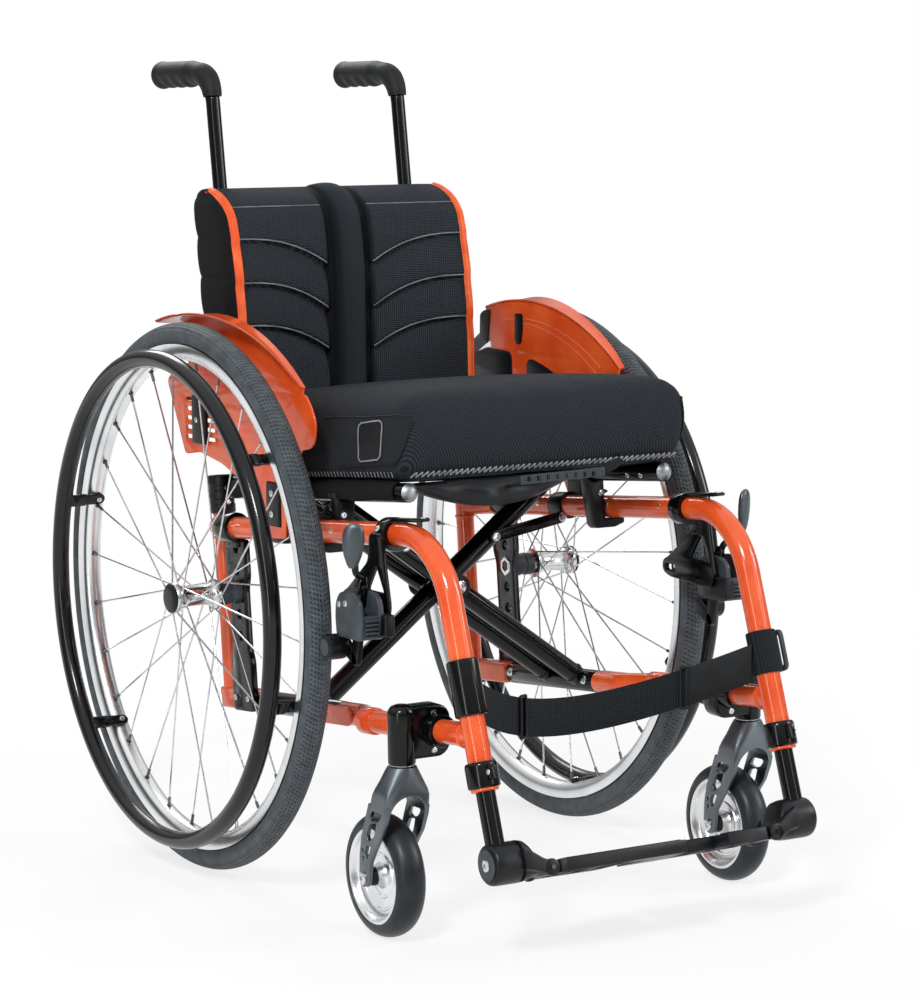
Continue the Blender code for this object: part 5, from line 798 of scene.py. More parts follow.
def side_frame(tag, side):
    leg_end = down_leg(side, 0.2437).translation
    path = rounded([fold(side * 0.1570, 0.0550, RAIL_H), fold(side * RAIL_X, 0.0300, RAIL_H),
                    fold(side * RAIL_X, CORNER_Y, RAIL_H), leg_end], [0.060, 0.085], 16)
    radii = [RAIL_R] * (len(path) - 18)
    radii += [RAIL_R + (LEG_R - RAIL_R) * i / 16 for i in range(17)] + [LEG_R]
    pieces = [tube_run(path, radii, 40)]
    slope = math.tan(LEG_ANGLE - PITCH)
    lower = rounded([fold(side * RAIL_X, CORNER_Y - RAIL_H * slope, 0), fold(side * RAIL_X, -0.2850, 0),
                     fold(side * 0.1600, -0.2510, 0), fold(side * 0.1600, -0.2083, 0)], [0.030, 0.030], 8)
    pieces.append(tube_run(lower, RAIL_R, 40))
    pieces.append(rod(fold(side * RAIL_X, -0.3070, 0), fold(side * RAIL_X, -0.2850, 0), 0.0140, 0.0012, 40))
    pieces.append(rod(fold(side * 0.1570, 0.0550, -0.004), fold(side * 0.1570, 0.0550, 0.2285), 0.0105, 0.0, 40))
    # Weld beads round the joints.
    for a, b, radius in ((fold(side * RAIL_X, CORNER_Y - RAIL_H * slope + 0.0120, 0),
                          fold(side * RAIL_X, CORNER_Y - RAIL_H * slope + 0.0180, 0), 0.0136),
                         (fold(side * 0.1570, 0.0550, 0.2030), fold(side * 0.1570, 0.0550, 0.2075), 0.0117),
                         (fold(side * 0.1570, 0.0550, 0.1765), fold(side * 0.1570, 0.0550, 0.1810), 0.0117)):
        pieces.append(rod(a, b, radius, 0.0020, 40))
    pieces.append(moved(block((side * 0.1475, -0.0303, -0.0115), (side * 0.1685, 0.0665, 0.0115), 0.0030), FOLD))
    tongue = capsule((-0.1930, 0.0), (-0.2400, 0.0), 0.0100, 0.0100)
    pieces.append(moved(flat_piece(tongue, min(side * 0.1730, side * 0.1768), max(side * 0.1730, side * 0.1768),
                                   "YZ", edge=0.0010), FOLD))
    finish(together(*pieces), f"frame_tubes_{tag}", orange_coat, BODY[tag], (f"side_frame_{tag}",))
    studs = [moved(hex_screw((side * 0.1767, -0.1930, 0.0), (side, 0, 0), 0.0045, 0.0020), FOLD)]
    for along, face in ((-0.230, -1), (-0.200, -1), (-0.255, 1), (-0.285, 1), (-0.090, -1), (-0.330, -1)):
        at = fold(side * (RAIL_X + face * (RAIL_R - 0.0012)), along, RAIL_H + 0.002)
        studs.append(hex_screw(at, (side * face, 0, 0.12), 0.0030, 0.0014))
    finish(together(*studs), f"frame_screws_{tag}", bright_steel, BODY[tag])
    return path


# Footrests

def footrest(tag, side):
    """Post with its clamp ring, cross hub with a screwed end disc, and the neck that runs into the plate half."""
    body = BODY[tag]
    turn = down_leg(side, 0.2437)
    ring = turned([(0.0124, -0.0046), (0.0148, -0.0050), (0.0160, -0.0038), (0.0162, 0.0000), (0.0162, 0.0160),
                   (0.0158, 0.0186), (0.0146, 0.0200), (0.0124, 0.0200)], turn, 48)
    post = turned([(0.0, 0.0), (0.0120, 0.0), (0.0120, -0.0046), (0.0096, -0.0050), (0.0096, -0.0690),
                   (0.0, -0.0690)], turn, 40)
    ears = [moved(block((side * -0.0040, -0.0215, 0.0010), (side * 0.0040, -0.0150, 0.0160), 0.0015), turn)]
    finish(together(ring, post, *ears), f"footrest_post_{tag}", black_coat, body, (f"footrest_post_{tag}",))
    lip = turned([(0.0098, -0.0084), (0.0126, -0.0084), (0.0138, -0.0076), (0.0138, -0.0054), (0.0098, -0.0050)],
                 turn, 48)
    finish(lip, f"leg_end_lip_{tag}", orange_coat, body)
    bolt = hex_screw((side * 0.0038, -0.0184, 0.0085), (side, 0, 0), 0.0032, 0.0016)
    finish(moved(bolt, turn), f"footrest_ring_bolt_{tag}", bright_steel, body)

    plate = down_leg(side, HUB_DOWN)
    plate.translation.x = 0.0
    across = plate @ Matrix.Rotation(side * math.pi / 2, 4, "Y")
    barrel = turned([(0.0, 0.1911), (0.0150, 0.1911), (0.0178, 0.1903), (0.0196, 0.1885), (0.0203, 0.1860),
                     (0.0205, 0.1800), (0.0205, 0.1640), (0.0198, 0.1560), (0.0178, 0.1515), (0.0140, 0.1500),
                     (0.0, 0.1500)], across, 64)
    groove = turned([(0.0168, 0.1905), (0.0158, 0.1905), (0.0158, 0.1925), (0.0168, 0.1925)], across, 64)
    shoulder = []
    for x, n, up, wide in ((0.1600, 0.0, 0.0204, 0.0204), (0.1550, -0.0003, 0.0196, 0.0202), (0.1510, -0.0016, 0.0170, 0.0200),
                           (0.1475, -0.0040, 0.0134, 0.0198), (0.1450, -0.0066, 0.0104, 0.0196),
                           (0.1432, -0.0088, 0.0080, 0.0194)):
        shoulder.append([(side * x, wide * math.copysign(abs(math.cos(t)) ** 0.7, math.cos(t)),
                          n + up * math.copysign(abs(math.sin(t)) ** 0.7, math.sin(t)))
                         for t in (2 * math.pi * (i + 0.5) / 36 for i in range(36))])
    pieces = [cut(barrel, groove), moved(loft(shoulder), plate)]
    for sense in (-1, 1):
        near, far = sense * 0.0193, sense * 0.0248
        rings = []
        for x, n, r in ((0.1620, 0.0, 0.0120), (0.1510, -0.0035, 0.0100), (0.1430, -0.0080, 0.0086),
                        (0.1380, -0.0105, 0.0083), (0.1335, -0.0117, 0.0085)):
            rings.append([(side * x, near, n + r), (side * x, far, n + r * 0.8), (side * x, far, n - r * 0.8),
                          (side * x, near, n - r)])
        pieces.append(moved(soften(loft(rings), 0.0012, 3, 30.0), plate))
        pieces.append(moved(rod((side * 0.1335, near, -0.0117), (side * 0.1335, far, -0.0117), 0.0085, 0.0010), plate))
    finish(together(*pieces), f"foot_hub_{tag}", black_nylon, body, (f"foot_hub_{tag}",))
    pin = rod((side * 0.1335, -0.0262, -0.0117), (side * 0.1335, 0.0262, -0.0117), 0.0024)
    finish(moved(pin, plate), f"foot_hinge_pin_{tag}", black_coat, body)
    disc = turned([(0.0, 0.1909), (0.0150, 0.1909), (0.0154, 0.1912), (0.0154, 0.1917), (0.0150, 0.1920),
                   (0.0, 0.1920)], across, 64)
    finish(disc, f"foot_hub_disc_{tag}", grey_nylon, body)
    screw = moved(hex_screw((side * 0.1917, 0.0, 0.0), (side, 0, 0), 0.0062, 0.0018), plate)
    finish(screw, f"foot_hub_screw_{tag}", bright_steel, body)


def foot_half(tag, side):
    """The CAD's plate half with soft edges, and a rounded grip strip along the front of its top."""
    skin = dressed(f"footplate_{tag}", black_nylon, 0.0012, 50.0)
    plate = down_leg(side, HUB_DOWN)
    plate.translation.x = 0.0
    inner = -0.0180 if side < 0 else 0.0750
    strips = []
    for k in range(3):
        r = -0.0225 + 0.0062 * k
        strips.append(moved(block((side * inner, r - 0.0012, -0.0058), (side * 0.1180, r + 0.0012, -0.0044), 0.0005),
                            plate))
    for k in range(4):
        r = 0.0085 + 0.0085 * k
        strips.append(moved(block((side * 0.0400, r - 0.0012, -0.0058), (side * 0.1170, r + 0.0012, -0.0044), 0.0005),
                            plate))
    finish(together(*strips), f"footplate_ribs_{tag}", black_rubber, f"footplate_{tag}")
    return skin


def near_sleeve():
    """Moulded sleeve on the user's right leg that the strap is sewn into."""
    turn = down_leg(-1, 0.1510)
    profile = [(0.0124, -0.0275), (0.0148, -0.0275), (0.0158, -0.0265), (0.0160, -0.0245), (0.0160, 0.0245),
               (0.0158, 0.0265), (0.0148, 0.0275), (0.0124, 0.0275)]
    sleeve = turned(profile, turn, 48)
    seam = moved(block((-0.0022, -0.0166, -0.0262), (0.0022, -0.0150, 0.0262), 0.0006), turn)
    finish(together(sleeve, seam), "leg_sleeve", black_coat, "side_right", ("leg_sleeve_r",))


def far_buckle():
    """Strap laid round the left leg, with the rounded bar buckle that holds its end on the outer side."""
    turn = down_leg(1, 0.1510)
    profile = [(0.0124, -0.0220), (0.0146, -0.0220), (0.0154, -0.0210), (0.0154, 0.0210), (0.0146, 0.0220),
               (0.0124, 0.0220)]
    wrap = turned(profile, turn, 48)
    finish(wrap, "strap_loop", nylon_web, "side_left", ("strap_loop_l",))
    outline = round_corners([(-0.0115, -0.0215), (0.0115, -0.0215), (0.0115, 0.0215), (-0.0115, 0.0215)], 0.0075, 8)
    hole = round_corners([(-0.0065, -0.0165), (0.0065, -0.0165), (0.0065, 0.0165), (-0.0065, 0.0165)], 0.0045, 8)
    hoop = moved(flat_piece(outline, 0.0160, 0.0205, "YZ", [hole], 0.0016), turn)
    bar = moved(rod((0.0182, 0.0, -0.0200), (0.0182, 0.0, 0.0200), 0.0018), turn)
    finish(together(hoop, bar), "strap_buckle", grey_nylon, "side_left")


# Upright, plates and grips

def axle_plate(tag, side):
    """Plate with its row of holes, the rail clamp with its pinch bolts, and the threaded receiver."""
    body = BODY[tag]
    low, high = side * 0.1688, side * 0.1768
    shape = [(-0.0295, -0.0105), (0.0160, -0.0105), (0.0160, 0.0450), (0.0110, 0.0580), (0.0110, 0.1250),
             (0.0160, 0.1380), (0.0160, 0.1785), (-0.0295, 0.1785), (-0.0295, 0.1380), (-0.0245, 0.1250),
             (-0.0245, 0.0580), (-0.0295, 0.0450)]
    holes = []
    for step in (-2, -1, 1, 2):
        holes.append(circle(-0.0106, 0.1211 + step * 0.0241, 0.0055))
    plate = flat_piece(round_corners(shape, 0.0050), min(low, high), max(low, high), "YZ", holes, 0.0010)
    clamp = rod((side * RAIL_X, -0.0205, RAIL_H), (side * RAIL_X, 0.0070, RAIL_H), 0.0166, 0.0014, 48)
    jaw = block((side * 0.1700, -0.0205, RAIL_H - 0.0220), (side * 0.1800, 0.0070, RAIL_H - 0.0080), 0.0020)
    pieces = [moved(piece, FOLD) for piece in (plate, clamp, jaw)]
    receiver = turned([(0.0066, -0.0545), (0.0125, -0.0545), (0.0128, -0.0530), (0.0128, -0.0460), (0.0118, -0.0452),
                       (0.0118, -0.0400), (0.0125, -0.0392), (0.0125, -0.0308), (0.0118, -0.0303), (0.0066, -0.0303)],
                      wheel_place(side, WHEEL_X, 0.0, WHEEL_Z), 48)
    finish(together(*pieces), f"axle_plate_{tag}", black_anodised, body, (f"axle_plate_{tag}",))
    finish(receiver, f"axle_receiver_{tag}", grey_nylon, body)
    nut = turned([(0.0066, -0.0640), (0.0118, -0.0640), (0.0118, -0.0588), (0.0066, -0.0588)],
                 wheel_place(side, WHEEL_X, 0.0, WHEEL_Z), 6)
    bolts = [moved(hex_screw((side * 0.1768, y, RAIL_H - 0.0145), (side, 0, 0), 0.0035, 0.0024), FOLD)
             for y in (-0.0140, 0.0005)]
    bolts += [moved(hex_screw((side * 0.1768, y, 0.0040), (side, 0, 0), 0.0035, 0.0024), FOLD)
              for y in (-0.0210, 0.0080)]
    finish(together(soften(nut, 0.0005), *bolts), f"axle_plate_bolts_{tag}", bright_steel, body)


def back_socket(tag, side):
    """Two ribbed clamp halves on the upright, joined by a web to the tilted sleeve of the cane."""
    body = BODY[tag]
    x, y = side * 0.1570, 0.0550
    pieces = [moved(turned([(0.0107, 0.2060), (0.0142, 0.2060), (0.0147, 0.2068), (0.0147, 0.2150), (0.0139, 0.2158),
                            (0.0139, 0.2212), (0.0147, 0.2220), (0.0147, 0.2302), (0.0139, 0.2310), (0.0139, 0.2364),
                            (0.0147, 0.2372), (0.0147, 0.2464), (0.0138, 0.2480), (0.0107, 0.2480)],
                           Matrix.Translation((x, y, 0)), 48), FOLD)]
    lift = Matrix.Translation((side * CANE_X, CANE_Y, CANE_Z)) @ Matrix.Rotation(-CANE_LEAN, 4, "X")
    pieces.append(turned([(0.0084, -0.0260), (0.0125, -0.0260), (0.0135, -0.0248), (0.0135, 0.0300), (0.0130, 0.0345),
                          (0.0112, 0.0360), (0.0084, 0.0360)], lift, 48))
    pieces.append(block((side * 0.1210, CANE_Y - 0.0480, CANE_Z - 0.0205), (side * 0.1560, CANE_Y + 0.0020,
                                                                       CANE_Z - 0.0065), 0.0040))
    pieces.append(block((side * 0.1250, CANE_Y - 0.0420, CANE_Z - 0.0180), (side * 0.1510, CANE_Y - 0.0060,
                                                                       CANE_Z - 0.0030), 0.0040))
    finish(together(*pieces), f"back_socket_{tag}", black_nylon, body, (f"back_socket_{tag}",))
    screws = [moved(hex_screw((x, y - 0.0140, z), (0, -1, 0), 0.0034, 0.0022), FOLD) for z in (0.2185, 0.2337)]
    screws.append(moved(hex_screw((side * 0.0130, 0.0, 0.0200), (side, 0, 0), 0.0034, 0.0022), lift))
    finish(together(*screws), f"back_socket_screws_{tag}", bright_steel, body)


def back_cane(tag, side):
    """Black cane with its bend, and the foam rubber grip with finger lobes and an end flange."""
    body = BODY[tag]
    run = (0.8630 - CANE_Z) / math.cos(CANE_LEAN)
    corner, end = up_cane(side, run), Vector((side * CANE_X, 0.2740, 0.8630))
    path = rounded([up_cane(side, 0.0003), corner, end], [0.040], 20)
    finish(tube_run(path, 0.0080, 40), f"back_cane_{tag}", black_coat, body, (f"back_cane_{tag}",))
    # The finger grooves are on the underside only.
    foot = (0.8420 - CANE_Z) / math.cos(CANE_LEAN)
    bend = rounded([up_cane(side, foot), corner, Vector((side * CANE_X, 0.2760, 0.8630))], [0.030], 20)[:-1]
    stations = [(point, 0.0104 + 0.0022 * min(i / 12.0, 1.0), 0.0) for i, point in enumerate(bend)]
    start, stop = bend[-1].y, 0.2760
    for i in range(1, 61):
        share = i / 60
        groove = 0.0032 * (0.5 - 0.5 * math.cos(2 * math.pi * 4 * share)) * min(share * 6.0, 1.0, (1 - share) * 9.0)
        radius = 0.0126 + 0.0026 * min(share * 5.0, 1.0) + 0.0008 * max(0.0, share - 0.9) * 10.0
        stations.append((Vector((side * CANE_X, start + (stop - start) * share, 0.8630)), radius, groove))
    stations.append((Vector((side * CANE_X, stop + 0.0010, 0.8630)), 0.0148, 0.0))
    stations.append((Vector((side * CANE_X, stop + 0.0014, 0.8630)), 0.0120, 0.0))
    rings = []
    for i, (point, radius, groove) in enumerate(stations):
        ahead = stations[min(i + 1, len(stations) - 1)][0] - stations[max(i - 1, 0)][0]
        ahead.normalize()
        over = Vector((0.0, -ahead.z, ahead.y))
        ring = []
        for k in range(40):
            c, v = math.cos(2 * math.pi * k / 40), math.sin(2 * math.pi * k / 40)
            reach = radius - groove * max(0.0, -v) ** 0.7
            ring.append(point + Vector((c * reach, 0.0, 0.0)) + over * (v * reach))
        rings.append(ring)
    finish(loft(rings), f"push_grip_{tag}", black_grip, body, (f"push_grip_{tag}",), 50.0)


# Brakes

def brake(tag, side):
    """Rail clamp, open triangular bracket, body shell, lever with its paddle, and the shoe on its twin legs."""
    body = BODY[tag]
    top = fold(0, -0.3631, RAIL_H)
    y0, z0 = top.y, top.z
    clamp = moved(turned([(0.0122, -0.0095), (0.0166, -0.0095), (0.0172, -0.0085), (0.0172, 0.0085),
                          (0.0166, 0.0095), (0.0122, 0.0095)],
                         Matrix.Translation((side * RAIL_X, -0.3631, RAIL_H)) @ Matrix.Rotation(math.pi / 2, 4, "X"),
                         48), FOLD)
    bridge = block((side * 0.1790, y0 - 0.0095, z0 - 0.0100), (side * 0.1990, y0 + 0.0095, z0 + 0.0030), 0.0020)
    tongue = [(-0.3540, 0.2052), (-0.3540, 0.2085), (-0.4130, 0.2086), (-0.4200, 0.2094), (-0.4262, 0.2092),
              (-0.4284, 0.2074), (-0.4270, 0.2054), (-0.4200, 0.2048)]
    strap = moved(flat_piece(round_corners(tongue, 0.0015), side * RAIL_X - 0.0058, side * RAIL_X + 0.0058, "YZ",
                             edge=0.0006), FOLD)
    a, b = side * 0.1950, side * 0.2000
    outline = round_corners([(y0 - 0.0130, z0 + 0.0020), (y0 - 0.0170, z0 - 0.0270), (y0 - 0.0265, z0 - 0.0690),
                             (y0 - 0.0215, z0 - 0.0850), (y0 + 0.0550, z0 - 0.0810), (y0 + 0.0675, z0 - 0.0760),
                             (y0 + 0.0680, z0 - 0.0640), (y0 + 0.0570, z0 - 0.0590), (y0 + 0.0150, z0 - 0.0270),
                             (y0 + 0.0110, z0 + 0.0020)], 0.0060, 6)
    window = round_corners([(y0 - 0.0020, z0 - 0.0290), (y0 + 0.0170, z0 - 0.0560), (y0 - 0.0180, z0 - 0.0560)], 0.0035)
    slot = capsule((y0 + 0.0460, z0 - 0.0705), (y0 + 0.0580, z0 - 0.0705), 0.0030, 0.0030)
    plate = flat_piece(outline, min(a, b), max(a, b), "YZ", [window, slot], 0.0012)
    finish(together(clamp, bridge, strap, plate), f"brake_bracket_{tag}", black_coat, body,
           (f"brake_bracket_{tag}",))
    steel = [hex_screw((side * 0.1955, y0, z0 + 0.0060), (side * 0.7, -0.1, 0.7), 0.0034, 0.0020),
             hex_screw((side * 0.1998, y0 + 0.0520, z0 - 0.0705), (side, 0, 0), 0.0062, 0.0034),
             moved(hex_screw((side * RAIL_X, -0.4230, 0.2083), (0, 0, 1), 0.0034, 0.0014), FOLD)]

    py, pz = -0.3460, 0.3360
    outline = round_corners([(py + 0.0190, pz - 0.0370), (py + 0.0215, pz - 0.0180), (py + 0.0198, pz - 0.0010),
                             (py + 0.0120, pz + 0.0085), (py - 0.0030, pz + 0.0105), (py - 0.0190, pz + 0.0095),
                             (py - 0.0290, pz + 0.0030), (py - 0.0320, pz - 0.0160), (py - 0.0300, pz - 0.0350),
                             (py - 0.0240, pz - 0.0370)], 0.0060, 6)
    inner, outer = sorted((side * 0.2080, side * 0.2140))
    near, far = sorted((side * 0.2302, side * 0.2350))
    shells = [flat_piece(outline, inner, outer, "YZ", edge=0.0010), flat_piece(outline, near, far, "YZ", edge=0.0022)]
    spine = block((side * 0.2090, py - 0.0300, pz - 0.0352), (side * 0.2340, py - 0.0235, pz - 0.0120), 0.0015)
    foot = block((side * 0.2090, py - 0.0250, pz - 0.0368), (side * 0.2340, py + 0.0040, pz - 0.0318), 0.0015)
    box = block((side * 0.2004, py - 0.0400, pz - 0.0330), (side * 0.2120, py + 0.0030, pz - 0.0110), 0.0020)
    finish(together(*shells, spine, foot), f"brake_body_{tag}", brake_casting, body, (f"brake_body_{tag}",))
    finish(box, f"brake_slide_{tag}", black_nylon, body)
    ribs = [block((side * 0.2150, py - 0.0345, pz - 0.0340 + 0.0042 * k), (side * 0.2300, py - 0.0295,
                                                                      pz - 0.0318 + 0.0042 * k), 0.0007)
            for k in range(5)]
    finish(together(*ribs), f"brake_ribs_{tag}", grey_nylon, body)
    for dy, dz in ((0.0110, -0.0035), (-0.0020, -0.0015)):
        steel.append(hex_screw((side * 0.2346, py + dy, pz + dz), (side, 0, 0), 0.0036, 0.0018))
    finish(together(*steel), f"brake_screws_{tag}", bright_steel, body)

    x = side * 0.2173
    cheek = [capsule((py, pz), (py - 0.0065, pz + 0.0150), 0.0078, 0.0052)]
    low, high = sorted((side * 0.2143, side * 0.2203))
    lever = flat_piece(cheek[0], low, high, "YZ", [circle(py, pz, 0.0031)], 0.0010)
    wire = rounded([(x, py - 0.0050, pz + 0.0120), (x + side * 0.0020, py - 0.0120, pz + 0.0240),
                    (side * 0.2330, -0.3650, pz + 0.0300), (side * 0.2360, -0.3685, pz + 0.0600)], [0.010, 0.008], 8)
    finish(together(lever, tube_run(wire, 0.0035, 20)), f"brake_lever_rod_{tag}", black_coat, f"brake_lever_{tag}",
           (f"brake_lever_{tag}",))
    rings = []
    for share, wide, thick in ((0.0, 0.30, 0.45), (0.04, 0.42, 0.62), (0.12, 0.58, 0.80), (0.28, 0.80, 0.95),
                               (0.45, 0.95, 1.0), (0.62, 1.0, 1.0), (0.78, 0.95, 0.95), (0.90, 0.78, 0.80),
                               (0.97, 0.52, 0.55), (1.0, 0.22, 0.25)):
        z = 0.3720 + 0.0450 * share
        # The paddle's broad side faces forward and outward.
        flat_way, thin_way = Vector((side * 0.85, 0.53, 0.0)), Vector((side * 0.53, -0.85, 0.0))
        middle = Vector((side * 0.2370, -0.3685 - 0.0040 * (share - 0.5), z))
        rings.append([middle + flat_way * (0.0112 * wide * math.sin(t)) + thin_way * (0.0052 * thick * math.cos(t))
                      for t in (2 * math.pi * i / 28 for i in range(28))])
    finish(loft(rings), f"brake_paddle_{tag}", satin_paddle, f"brake_lever_{tag}")

    low, high = sorted((side * 0.2143, side * 0.2203))
    arm = flat_piece(capsule((-0.3440, 0.3150), (-0.3365, 0.2742), 0.0074, 0.0058), low, high, "YZ",
                     [circle(-0.3440, 0.3150, 0.0031)], 0.0010)
    toe = flat_piece(capsule((-0.3365, 0.2742), (-0.3160, 0.2865), 0.0058, 0.0075), low, high, "YZ", edge=0.0010)
    roller = turned([(0.0, -0.0110), (0.0110, -0.0110), (0.0126, -0.0098), (0.0130, -0.0080), (0.0130, 0.0080),
                     (0.0126, 0.0098), (0.0110, 0.0110), (0.0, 0.0110)], wheel_place(side, 0.2313, -0.3160, 0.2865), 48)
    finish(together(arm, toe, roller), f"brake_shoe_{tag}", black_nylon, f"brake_shoe_{tag}", (f"brake_shoe_{tag}",))
    disc = turned([(0.0, 0.0108), (0.0088, 0.0108), (0.0088, 0.0114), (0.0, 0.0114)],
                  wheel_place(side, 0.2313, -0.3160, 0.2865), 40)
    finish(disc, f"brake_shoe_disc_{tag}", grey_nylon, f"brake_shoe_{tag}")


# Side guards

def fender_spot(degrees, lift=0.0):
    share = max(degrees, 0.0) / 39.5
    radius = 0.3030 + 0.0040 * share ** 2 + lift
    return -radius * math.sin(math.radians(degrees)), WHEEL_Z + radius * math.cos(math.radians(degrees))


def side_guard(tag, side):
    """Guard panel and its tapering fender in one moulding, with the keyhole, slots and swept lines of its inner face."""
    body = BODY[tag]
    widths = ((-15.5, 0.0365), (-8.0, 0.0340), (0.0, 0.0290), (8.0, 0.0230), (16.0, 0.0180), (26.0, 0.0130),
              (34.0, 0.0100), (39.5, 0.0062))
    edge = [(-0.2002, 0.5290), (-0.2110, 0.5180), (-0.2190, 0.5060), (-0.2216, 0.4977),
            (-0.2187, 0.4814), (-0.2097, 0.4736), (-0.1904, 0.4709), (-0.1577, 0.4376), (-0.1502, 0.3740),
            (-0.1012, 0.3701), (-0.0967, 0.3814), (-0.0815, 0.4055), (-0.0595, 0.4242), (-0.0065, 0.4409),
            (0.0440, 0.4489), (0.0818, 0.4439), (0.1241, 0.5236), (0.1050, 0.5370), (0.0759, 0.5453)]
    angles = [-15.5 + 55.0 * i / 44 for i in range(45)]
    outline = [fender_spot(a, 0.0012) for a in angles] + round_corners(edge, 0.0060, 5)
    holes = []
    for i in range(5):
        z = 0.4625 + 0.0103 * i
        holes.append(capsule((0.0102, z + 0.0022), (0.0758, z + 0.0022), 0.0022, 0.0022, 6))
    holes.append(circle(0.0110, 0.5420, 0.0020, 16))
    rail = fold(side * RAIL_X, -0.1270, RAIL_H)
    holes.append([(-0.1426, rail.z + 0.0070), (-0.1114, rail.z + 0.0070), (-0.1114, rail.z + 0.0536),
                  (-0.1426, rail.z + 0.0536)])
    a, b = sorted((side * 0.19475, side * 0.19725))
    panel = flat_piece(outline, a, b, "YZ", holes, 0.0006)
    rings = []
    for angle in angles:
        for (a0, w0), (a1, w1) in zip(widths, widths[1:]):
            if a0 <= angle <= a1 + 1e-6:
                width = w0 + (w1 - w0) * (angle - a0) / (a1 - a0)
        ring = []
        # The outer rim of the fender turns up a little.
        for share, lift in ((0.0, 0.0), (0.25, -0.0002), (0.6, 0.0002), (0.88, 0.0012), (0.97, 0.0022), (1.0, 0.0036),
                            (0.97, 0.0044), (0.88, 0.0038), (0.6, 0.0028), (0.25, 0.0024), (0.0, 0.0026)):
            y, z = fender_spot(angle, lift)
            ring.append((side * (0.19475 + width * share), y, z))
        rings.append(ring)
    fender = loft(rings)
    lines = []
    for shift, start, stop in ((0.0, -8.0, 34.0), (0.0110, -4.0, 37.0)):
        run = [fender_spot(start + (stop - start) * i / 30, -0.0200 - shift * (0.4 + 0.6 * i / 30)) for i in range(31)]
        lines.append(tube_run([(side * 0.19485, y, z) for y, z in run], 0.0008, 8))
    finish(together(panel, fender, *lines), f"side_guard_{tag}", orange_coat, body, (f"side_guard_{tag}",),
           40.0)

    # Black moulding that shows behind the cut-outs of the inner face, and past the fender's rear end.
    linings = [[(0.0240, 0.5360), (0.0280, 0.5415), (0.0370, 0.5425), (0.0760, 0.5440), (0.1030, 0.5370), (0.1180, 0.5250),
                (0.1080, 0.5040), (0.0240, 0.5040)],
               [(-0.0085, 0.5300), (-0.0120, 0.5352), (-0.0210, 0.5360), (-0.0460, 0.5296), (-0.0770, 0.5190),
                (-0.0900, 0.5040), (-0.0085, 0.5040)],
               [(0.0165, 0.5870), (-0.0005, 0.5870), (-0.0005, 0.5660), (0.0020, 0.5600), (0.0020, 0.5540),
                (0.0075, 0.5510), (0.0145, 0.5520), (0.0175, 0.5570), (0.0165, 0.5650)],
               [(0.0700, 0.5890), (0.0840, 0.5870), (0.0925, 0.5820), (0.0935, 0.5560), (0.0760, 0.5480)]]
    low, high = sorted((side * 0.1937, side * 0.1950))
    covers = [flat_piece(round_corners(shape, 0.0035, 5), low, high, "YZ", edge=0.0003) for shape in linings]
    finish(together(*covers), f"guard_lining_{tag}", black_nylon, body)

    holder = [block((side * 0.1800, -0.1420, rail.z - 0.0110), (side * 0.1944, -0.1120, rail.z + 0.0490), 0.0025),
              block((side * 0.1920, -0.1415, rail.z + 0.0080), (side * 0.1995, -0.1125, rail.z + 0.0530), 0.0020)]
    saddle = moved(rod((side * RAIL_X, -0.1400, RAIL_H), (side * RAIL_X, -0.1140, RAIL_H), 0.0150, 0.0015, 40), FOLD)
    finish(together(*holder, saddle), f"guard_holder_{tag}", black_nylon, body, (f"guard_holder_{tag}",))
    clip = [block((side * 0.1976, 0.0220, 0.4585), (side * 0.2036, 0.0530, 0.5125), 0.0025),
            block((side * 0.1976, 0.0270, 0.4700), (side * 0.2046, 0.0480, 0.5010), 0.0020)]
    finish(together(*clip), f"guard_clip_{tag}", black_nylon, body, (f"guard_clip_{tag}",))
    screws = [hex_screw((side * 0.1994, -0.1270, rail.z + dz), (side, 0, 0), 0.0040, 0.0018) for dz in (0.0200, 0.0420)]
    screws.append(hex_screw((side * 0.2044, 0.0375, 0.4855), (side, 0, 0), 0.0034, 0.0014))
    finish(together(*screws), f"guard_screws_{tag}", bright_steel, body)


# Cross brace

def arm_spot(side, x, y):
    """Point on the centre line of the arm that rises to this side, at x across the chair."""
    return fold(x, y, (side * x + 0.1600) * SEAT_H / 0.3150)


